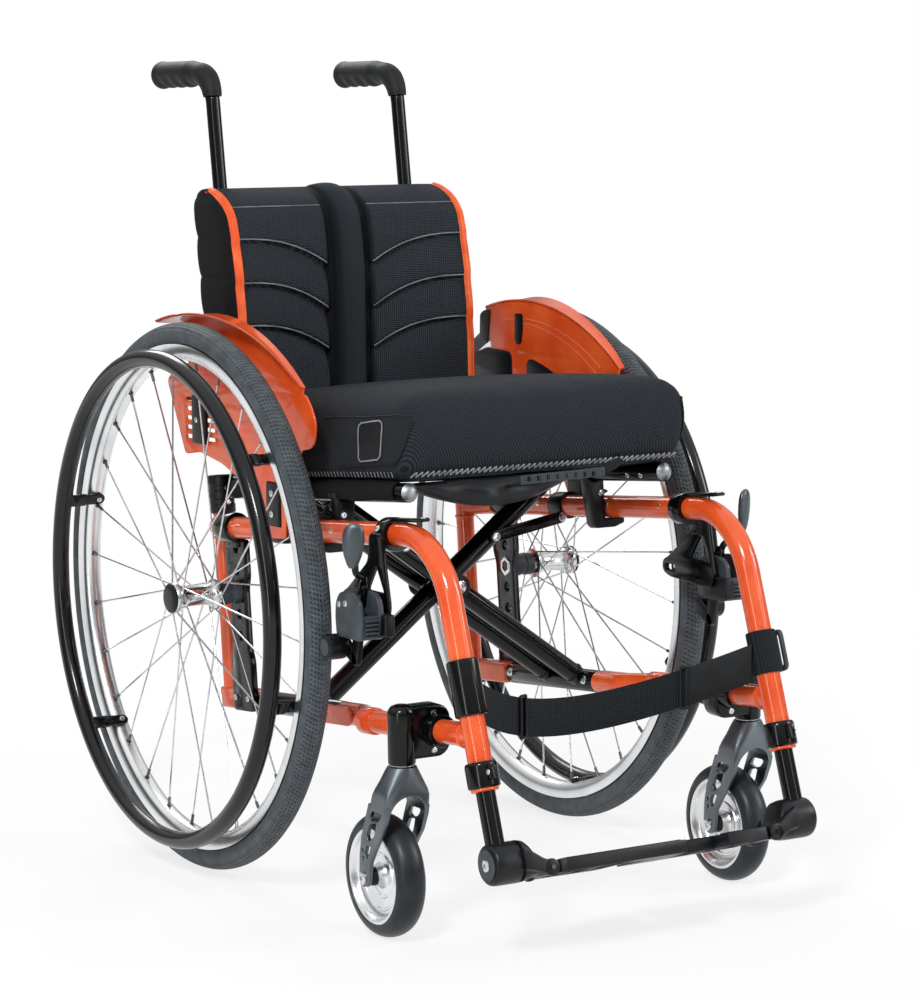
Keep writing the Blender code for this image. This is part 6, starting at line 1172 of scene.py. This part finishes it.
def cross_arm(name, side, planes, radius):
    """Pivot tube, brace tubes with weld beads, seat tube and its domed cap."""
    pieces = [rod(fold(-side * 0.1600, -0.2080, 0), fold(-side * 0.1600, -0.0306, 0), 0.01225, 0.0014, 40),
              rod(fold(side * SEAT_X, -0.3600, SEAT_H), fold(side * SEAT_X, 0.0300, SEAT_H), SEAT_R, 0.0008, 40)]
    for y in planes:
        pieces.append(rod(arm_spot(side, -side * 0.1560, y), arm_spot(side, side * 0.1530, y), radius, 0.0, 36))
        pieces.append(rod(arm_spot(side, -side * 0.1500, y), arm_spot(side, -side * 0.1462, y), radius + 0.0014,
                          0.0018, 32))
        pieces.append(rod(arm_spot(side, side * 0.1440, y), arm_spot(side, side * 0.1474, y), radius + 0.0012,
                          0.0016, 32))
    if len(planes) == 1:
        pieces.append(rod(arm_spot(side, 0.0, -0.1631), arm_spot(side, 0.0, -0.1245), 0.0130, 0.0015, 40))
    finish(together(*pieces), f"{name}_tubes", black_coat, name, (name,))
    facing = Matrix.Translation(fold(side * SEAT_X, -0.3600, SEAT_H)) @ Matrix.Rotation(math.pi / 2 - PITCH, 4, "X")
    dome = turned([(0.0, 0.0046), (0.0032, 0.0043), (0.0058, 0.0033), (0.0076, 0.0018), (0.0088, 0.0006),
                   (0.0093, 0.0), (0.0093, -0.0020), (0.0, -0.0020)], facing, 40)
    finish(dome, f"{name}_seat_tube_cap", satin_cap, name)
    studs = []
    for y in (-0.1950, -0.0430):
        head = hex_screw((-side * 0.1600 + side * 0.0118, y, 0.0020), (side, 0, 0.25), 0.0046, 0.0026)
        studs.append(moved(head, FOLD))
    for y in (-0.3300, -0.3050, 0.0080):
        studs.append(moved(hex_screw((side * (SEAT_X - 0.0088), y, SEAT_H - 0.0030), (-side, 0, -0.3), 0.0030, 0.0014),
                           FOLD))
    finish(together(*studs), f"{name}_bolts", bright_steel, name)


def centre_bolt():
    height = 0.1600 * SEAT_H / 0.3150
    reach = 0.0409
    facing = Matrix.Translation(fold(0, -0.1438, height)) @ Matrix.Rotation(math.pi / 2 - PITCH, 4, "X")
    discs = []
    for sense in (-1, 1):
        discs.append(turned([(0.0040, sense * reach), (0.0120, sense * reach), (0.0135, sense * (reach + 0.0010)),
                             (0.0132, sense * (reach + 0.0030)), (0.0105, sense * (reach + 0.0035)),
                             (0.0040, sense * (reach + 0.0032))], facing, 40))
    finish(together(*discs), "centre_discs", black_nylon, "cross_arm_a", ("centre_bolt",))
    ends = [moved(rod((0, 0, -0.0440), (0, 0, 0.0440), 0.0039), facing),
            moved(hex_screw((0, 0, 0.0438), (0, 0, 1), 0.0070, 0.0036), facing),
            moved(rod((0, 0, -0.0478), (0, 0, -0.0438), 0.0070, 0.0006, 6), facing)]
    finish(together(*ends), "centre_bolt_steel", bright_steel, "cross_arm_a")


def stay_link(tag, side):
    """Pressed link with round ends and a shallow dished middle, bolted at both."""
    front = -0.1598 if side > 0 else -0.1889
    foot = (side * 0.0657, (0.1600 + 0.0657) * SEAT_H / 0.3150)
    pivot = (side * 0.1530, 0.1810)
    link = flat_piece(capsule(foot, pivot, 0.0065, 0.0065), front, front + 0.0040, "XZ", edge=0.0008)
    middle = ((foot[0] + pivot[0]) / 2, (foot[1] + pivot[1]) / 2)
    spread = [(foot[0] * 0.75 + middle[0] * 0.25, foot[1] * 0.75 + middle[1] * 0.25),
              (pivot[0] * 0.75 + middle[0] * 0.25, pivot[1] * 0.75 + middle[1] * 0.25)]
    rib = flat_piece(capsule(*spread, 0.0028, 0.0028), front - 0.0008, front + 0.0010, "XZ", edge=0.0006)
    finish(moved(together(link, rib), FOLD), f"stay_link_{tag}", black_coat, f"stay_link_{tag}",
           (f"stay_link_{tag}",))
    heads = [hex_screw((u, front, v), (0, -1, 0), 0.0052, 0.0028) for u, v in (foot, pivot)]
    finish(moved(together(*heads), FOLD), f"stay_link_bolts_{tag}", bright_steel, f"stay_link_{tag}")


def seat_saddle(tag, side):
    """Moulded cradle with its hook, its fixing screw, and the four-point lug beside it."""
    dressed(f"seat_saddle_{tag}", black_nylon, 0.0012, 50.0)
    at = fold(side * 0.1600, -0.2295, 0.2080)
    finish(hex_screw(at, (0, -1, 0), 0.0036, 0.0016), f"seat_saddle_screw_{tag}", bright_steel, BODY[tag])
    points = []
    for k in range(8):
        reach = 0.0125 if k % 2 == 0 else 0.0052
        points.append((side * 0.1700 + reach * math.cos(math.pi * k / 4), 0.2085 + reach * math.sin(math.pi * k / 4)))
    star = flat_piece(round_corners(points, 0.0040, 6), -0.2135, -0.2115, "XZ", [circle(side * 0.1700, 0.2085, 0.0030)],
                      0.0006)
    finish(moved(star, FOLD), f"seat_saddle_lug_{tag}", black_nylon, BODY[tag])


# Seat and back

def swell(obj, voxel, cap, pressure=4.0):
    """Pumps a closed cover up as its foam fills it, and lets no point move further than the cap."""
    take(obj)
    grain = obj.modifiers.new("grain", "REMESH")
    grain.mode = "VOXEL"
    grain.voxel_size = voxel
    apply_all(obj)
    rest = [vertex.co.copy() for vertex in obj.data.vertices]
    cloth = obj.modifiers.new("cover", "CLOTH")
    cloth.settings.quality = 5
    cloth.settings.mass = 0.3
    cloth.settings.tension_stiffness = 15.0
    cloth.settings.compression_stiffness = 15.0
    cloth.settings.shear_stiffness = 5.0
    cloth.settings.bending_stiffness = 0.5
    cloth.settings.use_pressure = True
    cloth.settings.uniform_pressure_force = pressure
    cloth.settings.effector_weights.gravity = 0.0
    cloth.point_cache.frame_start = 1
    cloth.point_cache.frame_end = 20
    for step in range(1, 21):
        bpy.context.scene.frame_set(step)
    take(obj)
    bpy.ops.object.modifier_apply(modifier="cover")
    bpy.context.scene.frame_set(1)
    for vertex, start in zip(obj.data.vertices, rest):
        shift = vertex.co - start
        if shift.length > cap:
            vertex.co = start + shift * (cap / shift.length)
    return obj


def cushion_ring(share, half, inset, size=1.0):
    """One level of the cushion in the fold frame: rounded corners, sides that pull in, and a swollen front."""
    ahead = 0.0215 * max(math.sin(math.pi * min(share, 1.2) / 1.3), 0.0) ** 0.8
    front, rear, corner = -0.3725 - ahead + inset, 0.0100 - inset, 0.0170
    ring = []
    for x, y, start in ((half, front, -90), (half, rear, 0), (-half, rear, 90), (-half, front, 180)):
        cx, cy = x - math.copysign(corner, x), y + corner * (1 if start in (-90, 180) else -1)
        ring += arc(cx, cy, corner, start, start + 90, 8)
        for k in range(1, 20):
            t = k / 20
            along = (front + corner) * (1 - t) + (rear - corner) * t
            if start in (-90, 90):
                if start == 90:
                    along = (rear - corner) * (1 - t) + (front + corner) * t
                ring.append((math.copysign(half - 0.0030 * math.sin(math.pi * t), x), along))
            elif start == 0:
                ring.append(((half - corner) * (1 - 2 * t), rear))
            else:
                ring.append(((half - corner) * (2 * t - 1), front))
    middle = (front + rear) / 2
    return [(x * size, middle + (y - middle) * size) for x, y in ring]


CUSHION_BASE, CUSHION_RISE = 0.2462, 0.0830


def cushion_spot(side, along, share, off):
    """Point on the cushion's wall: along runs back from the front corner, or round it where it is below zero."""
    corner, half = 0.0170, 0.1735
    ahead = 0.0215 * max(math.sin(math.pi * share / 1.3), 0.0) ** 0.8
    front = -0.3725 - ahead
    turn = min(0.0, along / corner)
    x = half - corner + (corner + off) * math.cos(turn)
    y = front + corner + (corner + off) * math.sin(turn) + max(0.0, along)
    return fold(side * x, y, CUSHION_BASE + CUSHION_RISE * share)


def side_patch(side, corners, cover, thickness, rounding, steps=28, rows=16):
    """Cloth patch laid on the cushion's wall between four corners given as run along the wall and share of height."""
    (a0, h0), (a1, h1), (a2, h2), (a3, h3) = corners
    points = []
    for j in range(rows + 1):
        v = j / rows
        for i in range(steps + 1):
            u = i / steps
            # The patch's own corners are rounded.
            squeeze = rounding * (1 - math.sqrt(max(0.0, 1 - max(0.0, abs(2 * v - 1) * 1.0 - 0.7) ** 2 / 0.09)))
            along = (a0 * (1 - u) + a1 * u) * (1 - v) + (a3 * (1 - u) + a2 * u) * v
            along += squeeze * (1 - 2 * u)
            height = (h0 * (1 - u) + h1 * u) * (1 - v) + (h3 * (1 - u) + h2 * u) * v
            points.append(cushion_spot(side, along, height, 0.0120))
    across = steps + 1
    faces = [(j * across + i, j * across + i + 1, (j + 1) * across + i + 1, (j + 1) * across + i)
             for j in range(rows) for i in range(steps)]
    patch = mesh_piece(points, [], faces if side > 0 else [face[::-1] for face in faces])
    lay = patch.modifiers.new("lay", "SHRINKWRAP")
    lay.target = cover
    lay.wrap_method = "NEAREST_SURFACEPOINT"
    lay.wrap_mode = "ABOVE_SURFACE"
    lay.offset = 0.0002 + thickness
    apply_all(patch)
    rim = [patch.data.vertices[i].co.copy() for i in
           [*range(across), *[across * j + steps for j in range(1, rows + 1)],
            *[across * rows + i for i in range(steps - 1, -1, -1)], *[across * j for j in range(rows - 1, 0, -1)]]]
    wall = patch.modifiers.new("wall", "SOLIDIFY")
    wall.thickness = thickness + 0.0010
    wall.offset = -1.0
    apply_all(patch)
    return mend(patch), rim


def seat_cushion():
    """Foam block in a knitted cover: crowned, swollen at the front, with woven patches on both side walls."""
    rings = []
    for k in range(25):
        share = k / 24
        low, high = share * CUSHION_RISE / 0.0100, (1 - share) * CUSHION_RISE / 0.0240
        inset = 0.0080 * (1 - math.sqrt(1 - (1 - min(low, 1.0)) ** 2))
        inset += 0.0200 * (1 - math.sqrt(1 - (1 - min(high, 1.0)) ** 2))
        rings.append([fold(x, y, CUSHION_BASE + CUSHION_RISE * share)
                      for x, y in cushion_ring(share, 0.1735 - inset * 0.8, inset)])
    for size in (0.94, 0.86, 0.74, 0.60, 0.44, 0.26, 0.08):
        rings.append([fold(x, y, CUSHION_BASE + CUSHION_RISE + 0.0100 * (1 - size ** 2.2))
                      for x, y in cushion_ring(1.0, 0.1575, 0.0200, size)])
    cover = swell(loft(rings), 0.0055, 0.0045)
    smooth = cover.modifiers.new("smooth", "SMOOTH")
    smooth.factor = 0.5
    smooth.iterations = 6
    finer = cover.modifiers.new("finer", "SUBSURF")
    finer.levels = 1
    finer.render_levels = 1
    apply_all(cover)
    patches = []
    for tag, side in SIDES:
        panel, rim = side_patch(side, ((-0.0020, 0.16), (0.1260, 0.13), (0.1700, 0.80), (-0.0200, 0.80)), cover,
                                0.0012, 0.0050)
        patches.append((panel, f"cushion_side_panel_{tag}", side_cloth, "black_mesh_fabric"))
        patches.append((tube_run(rim + rim[:2], 0.0009, 10), f"cushion_side_seam_{tag}", dark_seam, None))
        bare, edge = side_patch(side, ((0.0330, 0.22), (0.0820, 0.20), (0.0840, 0.72), (0.0330, 0.74)), cover,
                                0.0024, 0.0060, 12, 16)
        patches.append((bare, f"cushion_bare_patch_{tag}", dark_seam, None))
        patches.append((tube_run(edge + edge[:2], 0.0008, 8), f"cushion_patch_edge_{tag}", thread, None))
    cushion = finish(cover, "seat_cushion_cover", seat_mesh, "seat", ("seat_cushion",), 60.0)
    parts = [cushion]
    for obj, name, material, slot in patches:
        parts.append(finish(obj, name, material, "seat", (), 50.0))
    # Zigzag stitches along the front's lower edge and down the sides.
    stitches = []
    for i in range(96):
        x = -0.1600 + 0.3200 * (i + 0.5) / 96
        lean = 0.0014 if i % 2 else -0.0014
        stitches.append(rod(fold(x - lean, -0.3795, 0.2520), fold(x + lean, -0.3725, 0.2472), 0.00075, 0.0, 6))
    for i in range(36):
        y = -0.3500 + 0.0070 * i
        for _, side in SIDES:
            stitches.append(rod(fold(side * 0.1690, y, 0.2530), fold(side * 0.1655, y + 0.0030, 0.2480), 0.0006, 0.0,
                                6))
    parts.append(finish(together(*stitches), "cushion_stitches", thread, "seat"))
    for part in parts:
        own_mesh(part)


def seat_sling():
    """Nylon sheet hemmed round both seat tubes, its drooping front edge, and the ribbed belt and strap ahead of it."""
    skin, inner = 0.0126, 0.0104
    outline = ([(-SEAT_X + u, SEAT_H + v) for u, v in arc(0, 0, skin, 215, 90, 12)]
               + [(-0.08, SEAT_H + 0.0100), (0.0, SEAT_H + 0.0096), (0.08, SEAT_H + 0.0100)]
               + [(SEAT_X + u, SEAT_H + v) for u, v in arc(0, 0, skin, 90, -35, 12)]
               + [(SEAT_X + u, SEAT_H + v) for u, v in arc(0, 0, inner, -35, 100, 12)]
               + [(0.08, SEAT_H + 0.0078), (0.0, SEAT_H + 0.0074), (-0.08, SEAT_H + 0.0078)]
               + [(-SEAT_X + u, SEAT_H + v) for u, v in arc(0, 0, inner, 80, 215, 12)])
    sheet = flat_piece(outline, -0.3450, 0.0150, "XZ", edge=0.0004)
    for _, side in SIDES:
        sheet = cut(sheet, block((side * 0.1380, -0.2300, SEAT_H - 0.0200), (side * 0.1720, -0.2120, SEAT_H + 0.0005)))
    sling = finish(moved(sheet, FOLD), "seat_sling_sheet", plain_cloth, "seat", ("seat_sling",))
    parts = [sling]
    # The front edge hangs in a bow with loose folds.
    rings = []
    steps = 72
    for i in range(steps + 1):
        t = i / steps
        x = -0.1500 + 0.1950 * t
        droop = math.sin(math.pi * min(max(t, 0.0), 1.0)) ** 0.8
        top = SEAT_H + 0.0090
        bottom = top - 0.0050 - 0.0240 * droop
        wave = 0.0022 * math.sin(9.0 * t) + 0.0012 * math.sin(23.0 * t + 0.6)
        front = -0.3520 - 0.0060 * droop
        ring = []
        for k in range(9):
            v = k / 8
            ring.append((x, front + wave * v - 0.0040 * math.sin(math.pi * v), top + (bottom - top) * v))
        for k in range(9):
            v = 1 - k / 8
            ring.append((x, front + 0.0022 + wave * v - 0.0040 * math.sin(math.pi * v), top + (bottom - top) * v))
        rings.append([fold(*spot) for spot in ring])
    edge = finish(loft(rings), "sling_front_edge", glossy_cloth, "seat", (), 60.0)
    parts.append(edge)
    belt = []
    for i in range(13):
        t = i / 12
        x = -0.0330 + 0.1020 * t
        y, z = -0.3760 - 0.0030 * math.sin(math.pi * t), SEAT_H - 0.0005 + 0.0025 * t
        belt.append([fold(x, y, z), fold(x, y - 0.0022, z + 0.0004), fold(x, y - 0.0022, z + 0.0092),
                     fold(x, y, z + 0.0096)])
    parts.append(finish(loft(belt), "sling_belt", grey_web, "seat", ()))
    slots = []
    for i in range(8):
        x = -0.0250 + 0.0112 * i
        slots.append(moved(block((x - 0.0012, -0.3818, SEAT_H + 0.0030), (x + 0.0012, -0.3780, SEAT_H + 0.0076),
                                 0.0003), FOLD))
    parts.append(finish(together(*slots), "sling_belt_slots", black_coat, "seat"))
    strap = []
    for i in range(9):
        t = i / 8
        x, z = 0.0690 + 0.0240 * t, SEAT_H + 0.0080 + 0.0110 * t
        y = -0.3740 - 0.0040 * math.sin(math.pi * t)
        strap.append([fold(x, y, z - 0.0050), fold(x, y - 0.0020, z - 0.0050), fold(x, y - 0.0020, z + 0.0050),
                      fold(x, y, z + 0.0050)])
    parts.append(finish(loft(strap), "sling_pull_strap", nylon_web, "seat", ()))
    for part in parts:
        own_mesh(part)


BACK_TABLE = ((0.500, 0.0330, 0.0490), (0.560, 0.0334, 0.0500), (0.600, 0.0353, 0.0495), (0.640, 0.0397, 0.0495),
              (0.680, 0.0476, 0.0545), (0.700, 0.0543, 0.0595), (0.730, 0.0665, 0.0675), (0.740, 0.0705, 0.0700))
BACK_SEAMS = ((0.6455, 0.6750), (0.5955, 0.6270), (0.5500, 0.5800))


def seam_height(reach, seam):
    """Height of a seam of the back at this distance from the middle: steep beside the spine, then level."""
    share = min(max((reach - 0.029) / 0.109, 0.0), 1.0)
    return seam[0] + (seam[1] - seam[0]) * (1 - (1 - share) ** 2.4)


def back_roll(z):
    """How far the front has rolled back over the top, or in under the bottom, at this height."""
    over = min(max(0.0, (z - 0.7000) / 0.0345), 1.0)
    under = min(max(0.0, (0.4985 - z) / 0.0085), 1.0)
    return 0.0550 * (1 - math.sqrt(1 - over ** 2)) + 0.0075 * (1 - math.sqrt(1 - under ** 2))


def back_face(x, z):
    """The padded front: a round spine in its channel, and pillows that overlap at three curved seams a side."""
    reach = abs(x)
    for (z0, e0, m0), (z1, e1, m1) in zip(BACK_TABLE, BACK_TABLE[1:]):
        if z <= z1 or z1 == 0.740:
            t = (z - z0) / (z1 - z0)
            edge, middle = e0 + (e1 - e0) * t, m0 + (m1 - m0) * t
            break
    if reach <= 0.0155:
        return middle + 0.0080 - 0.0215 * math.sqrt(max(0.0, 1 - (reach / 0.0158) ** 2)) ** 0.8
    if reach < 0.0270:
        return middle + 0.0080
    y = middle + (edge - middle) * (min(reach, 0.146) / 0.146) ** 2
    y += 0.0080 * math.exp(-((reach - 0.0200) / 0.0085) ** 4) if reach < 0.040 else 0.0
    deep = 0.0110 - 0.0055 * min((reach - 0.027) / 0.111, 1.0)
    fade = min(max((0.1455 - reach) / 0.004, 0.3), 1.0)
    lift = 0.0
    for seam in BACK_SEAMS:
        gap = z - seam_height(reach, seam)
        # The pillow above hangs over the seam, and the one below rises slowly from it.
        lift = max(lift, math.exp(-(gap / 0.0045) ** 1.5) if gap > 0 else math.exp(-(-gap / 0.0150) ** 1.2))
    return y + deep * fade * lift


def back_upholstery():
    """Padded back in twill mesh, with the wings that wrap the canes, piping down both edges and a rolled top."""
    columns = [0.0158 * math.sin(math.pi / 2 * k / 9) for k in range(10)]
    columns += [0.0158 + 0.0182 * k / 11 for k in range(1, 12)] + [0.0340 + 0.1090 * k / 38 for k in range(1, 39)]
    levels = [0.4900 + 0.0085 * math.sin(math.pi / 2 * k / 6) for k in range(6)]
    levels += [0.4985 + 0.2015 * k / 112 for k in range(113)]
    levels += [0.7000 + 0.0345 * math.sin(math.pi / 2 * k / 26) for k in range(1, 27)]
    rings = []
    for z in levels:
        cane = CANE_Y + (z - CANE_Z) * math.tan(CANE_LEAN)
        roll = back_roll(z)
        top = min(max(0.0, (z - 0.7150) / 0.0195), 1.0)
        drawn = 0.0110 * (1 - math.sqrt(1 - top ** 2))
        behind = cane - 0.0092
        # Bumps down the rear edge, where the wing is laced to the cane.
        bumps = 0.0030 * abs(math.sin(math.pi * (z - 0.5050) / 0.0440)) ** 0.5
        outer = 0.1535 + bumps - drawn
        rim = back_face(0.1455, z) + roll
        wing = cane + 0.0105 - drawn
        half = [(x, min(back_face(x, z) + roll, behind - 0.0030)) for x in columns]
        half += [(0.1455, min(rim + 0.0005, wing - 0.03)), (0.1490, min(rim + 0.0025, wing - 0.028)),
                 (0.1515, min(rim + 0.0070, wing - 0.026)), (outer - 0.0005, min(rim + 0.0150, wing - 0.024)),
                 (outer, min(rim + 0.0250, wing - 0.022)), (outer + 0.0008, wing - 0.0200),
                 (outer, wing - 0.0140), (outer - 0.0025, wing - 0.0080), (outer - 0.0070, wing - 0.0030),
                 (0.1420 - drawn * 0.5, wing), (0.1330, wing - 0.0010), (0.1292, wing - 0.0060),
                 (0.1290, cane - 0.0030), (0.1280, behind + 0.0010), (0.1200, behind), (0.0900, behind - 0.0005),
                 (0.0500, behind - 0.0005), (0.0, behind - 0.0005)]
        crest = 0.0045 * max(0.0, (z - 0.7000) / 0.0345) ** 2
        rise = [crest * math.sqrt(max(0.0, 1 - (x / 0.0160) ** 2)) if y < behind - 0.0025 and x < 0.0160 else 0.0
                for x, y in half]
        ring = [(x, y, z + up) for (x, y), up in zip(half, rise)]
        ring += [(-x, y, z + up) for (x, y), up in list(zip(half, rise))[-2:0:-1]]
        rings.append(ring)
    pad = finish(loft(rings), "back_pad", back_mesh, "side_right", ("back_upholstery",), 50.0)
    parts = [pad]
    for tag, side in SIDES:
        spine_line, rings = [], []
        for k in range(62):
            z = 0.4960 + 0.2040 * k / 61
            spine_line.append((z, back_face(0.1455, z) + back_roll(z)))
        for k in range(1, 15):
            z = 0.7000 + 0.0345 * math.sin(math.pi / 2 * k / 16)
            spine_line.append((z, back_face(0.1455, z) + back_roll(z)))
        for i, (z, y) in enumerate(spine_line):
            z0, y0 = spine_line[max(i - 1, 0)]
            z1, y1 = spine_line[min(i + 1, len(spine_line) - 1)]
            run = Vector((0.0, y1 - y0, z1 - z0)).normalized()
            face = Vector((0.0, -run.z, run.y))
            proud = (Vector((side * 0.55, 0.0, 0.0)) + face * 0.83).normalized()
            wide = run.cross(proud) * side
            centre = Vector((side * 0.1470, y, z)) + face * -0.0004
            rings.append([centre + wide * u + proud * v for u, v in (
                (-0.0047, -0.0034), (-0.0047, 0.0004), (-0.0036, 0.0013), (-0.0010, 0.0015), (-0.0006, 0.0023),
                (0.0006, 0.0023), (0.0010, 0.0015), (0.0036, 0.0013), (0.0047, 0.0004), (0.0047, -0.0034))])
        parts.append(finish(loft(rings), f"back_piping_{tag}", orange_piping, "side_right", (), 40.0))
        stitches = []
        # Light grey thread just above each seam and along the top hem: real stitching, drawn lighter as a painted
        # highlight on the fold of the seam.
        for seam in BACK_SEAMS:
            run = []
            for k in range(48):
                reach = 0.0295 + 0.1130 * k / 47
                z = seam_height(reach, seam) + 0.0050
                run.append((side * reach, back_face(side * reach, z) - 0.0002, z))
            stitches.append(tube_run(run, 0.0009, 8))
        run = [(side * (0.0300 + 0.1130 * k / 39), back_face(0.0300 + 0.1130 * k / 39, 0.7150) + back_roll(0.7150)
                - 0.0002, 0.7150) for k in range(40)]
        stitches.append(tube_run(run, 0.0006, 8))
        parts.append(finish(together(*stitches), f"back_seam_stitches_and_highlights_{tag}", seam_thread_and_highlight, "side_right"))
    bands = []
    for z in (0.5350, 0.5900, 0.6450, 0.7000):
        rings = []
        for k in range(25):
            x = -0.1080 + 0.2160 * k / 24
            ring = []
            for lift, off in ((-0.0170, 0.0), (-0.0170, 0.0018), (0.0170, 0.0018), (0.0170, 0.0)):
                cane = CANE_Y + (z + lift - CANE_Z) * math.tan(CANE_LEAN)
                ring.append((x, cane - 0.0094 + off, z + lift))
            rings.append(ring)
        bands.append(soften(loft(rings), 0.0005, 2, 50.0))
    parts.append(finish(together(*bands), "back_tension_bands", nylon_web, "side_right"))
    for part in parts:
        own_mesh(part)


def calf_strap():
    """Webbing in a shallow bow between the legs, with two bar sliders and the doubled band past the far one."""
    def spot(u, lift=0.0, off=0.0):
        x = u * 0.1606
        y = -0.4130 - 0.0730 * u * u
        slope = -2 * 0.0730 * u / 0.1606
        normal = Vector((-slope, 1.0, 0.0)).normalized()
        z = 0.2510 + 0.0040 * u - 0.0430 * (1 - u * u) + lift
        return Vector((x, y, z)) + normal * off

    def band(u0, u1, half, front, back, steps=64):
        rings = []
        for i in range(steps + 1):
            u = u0 + (u1 - u0) * i / steps
            rings.append([spot(u, -half, front), spot(u, -half, back), spot(u, half, back), spot(u, half, front)])
        return soften(loft(rings), 0.0004, 2, 50.0)

    web = finish(band(-1.0, 1.0, 0.0195, -0.0009, 0.0009), "calf_strap_web", nylon_web, "side_right", ("calf_strap",),
                 50.0)
    doubled = finish(band(0.66, 1.0, 0.0197, -0.0032, -0.0012, 24), "calf_strap_end", dark_seam, "side_right")
    parts = [web, doubled]
    frames = []
    for u in (-0.53, 0.66):
        outline = round_corners([(-0.0060, -0.0225), (0.0060, -0.0225), (0.0060, 0.0225), (-0.0060, 0.0225)], 0.0025, 5)
        hole = round_corners([(-0.0034, -0.0198), (0.0034, -0.0198), (0.0034, 0.0198), (-0.0034, 0.0198)], 0.0015, 5)
        piece = flat_piece(outline, -0.0030, 0.0004, "XZ", [hole], 0.0010)
        slope = math.atan2(-2 * 0.0730 * u, 0.1606)
        piece = moved(piece, Matrix.Translation(spot(u, 0.0, -0.0014)) @ Matrix.Rotation(slope, 4, "Z"))
        frames.append(piece)
    parts.append(finish(together(*frames), "calf_strap_sliders", black_nylon, "side_right"))
    for part in parts:
        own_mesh(part)


for tag, side in SIDES:
    rear_wheel(tag, side)
    castor(tag, side)
    castor_housing(tag, side)
    side_frame(tag, side)
    footrest(tag, side)
    foot_half(tag, side)
    axle_plate(tag, side)
    back_socket(tag, side)
    back_cane(tag, side)
    brake(tag, side)
    side_guard(tag, side)
    stay_link(tag, side)
    seat_saddle(tag, side)
near_sleeve()
far_buckle()
cross_arm("cross_arm_a", 1, (-0.1438,), 0.0115)
cross_arm("cross_arm_b", -1, (-0.1739, -0.1137), 0.0105)
centre_bolt()
seat_sling()
seat_cushion()
back_upholstery()
calf_strap()
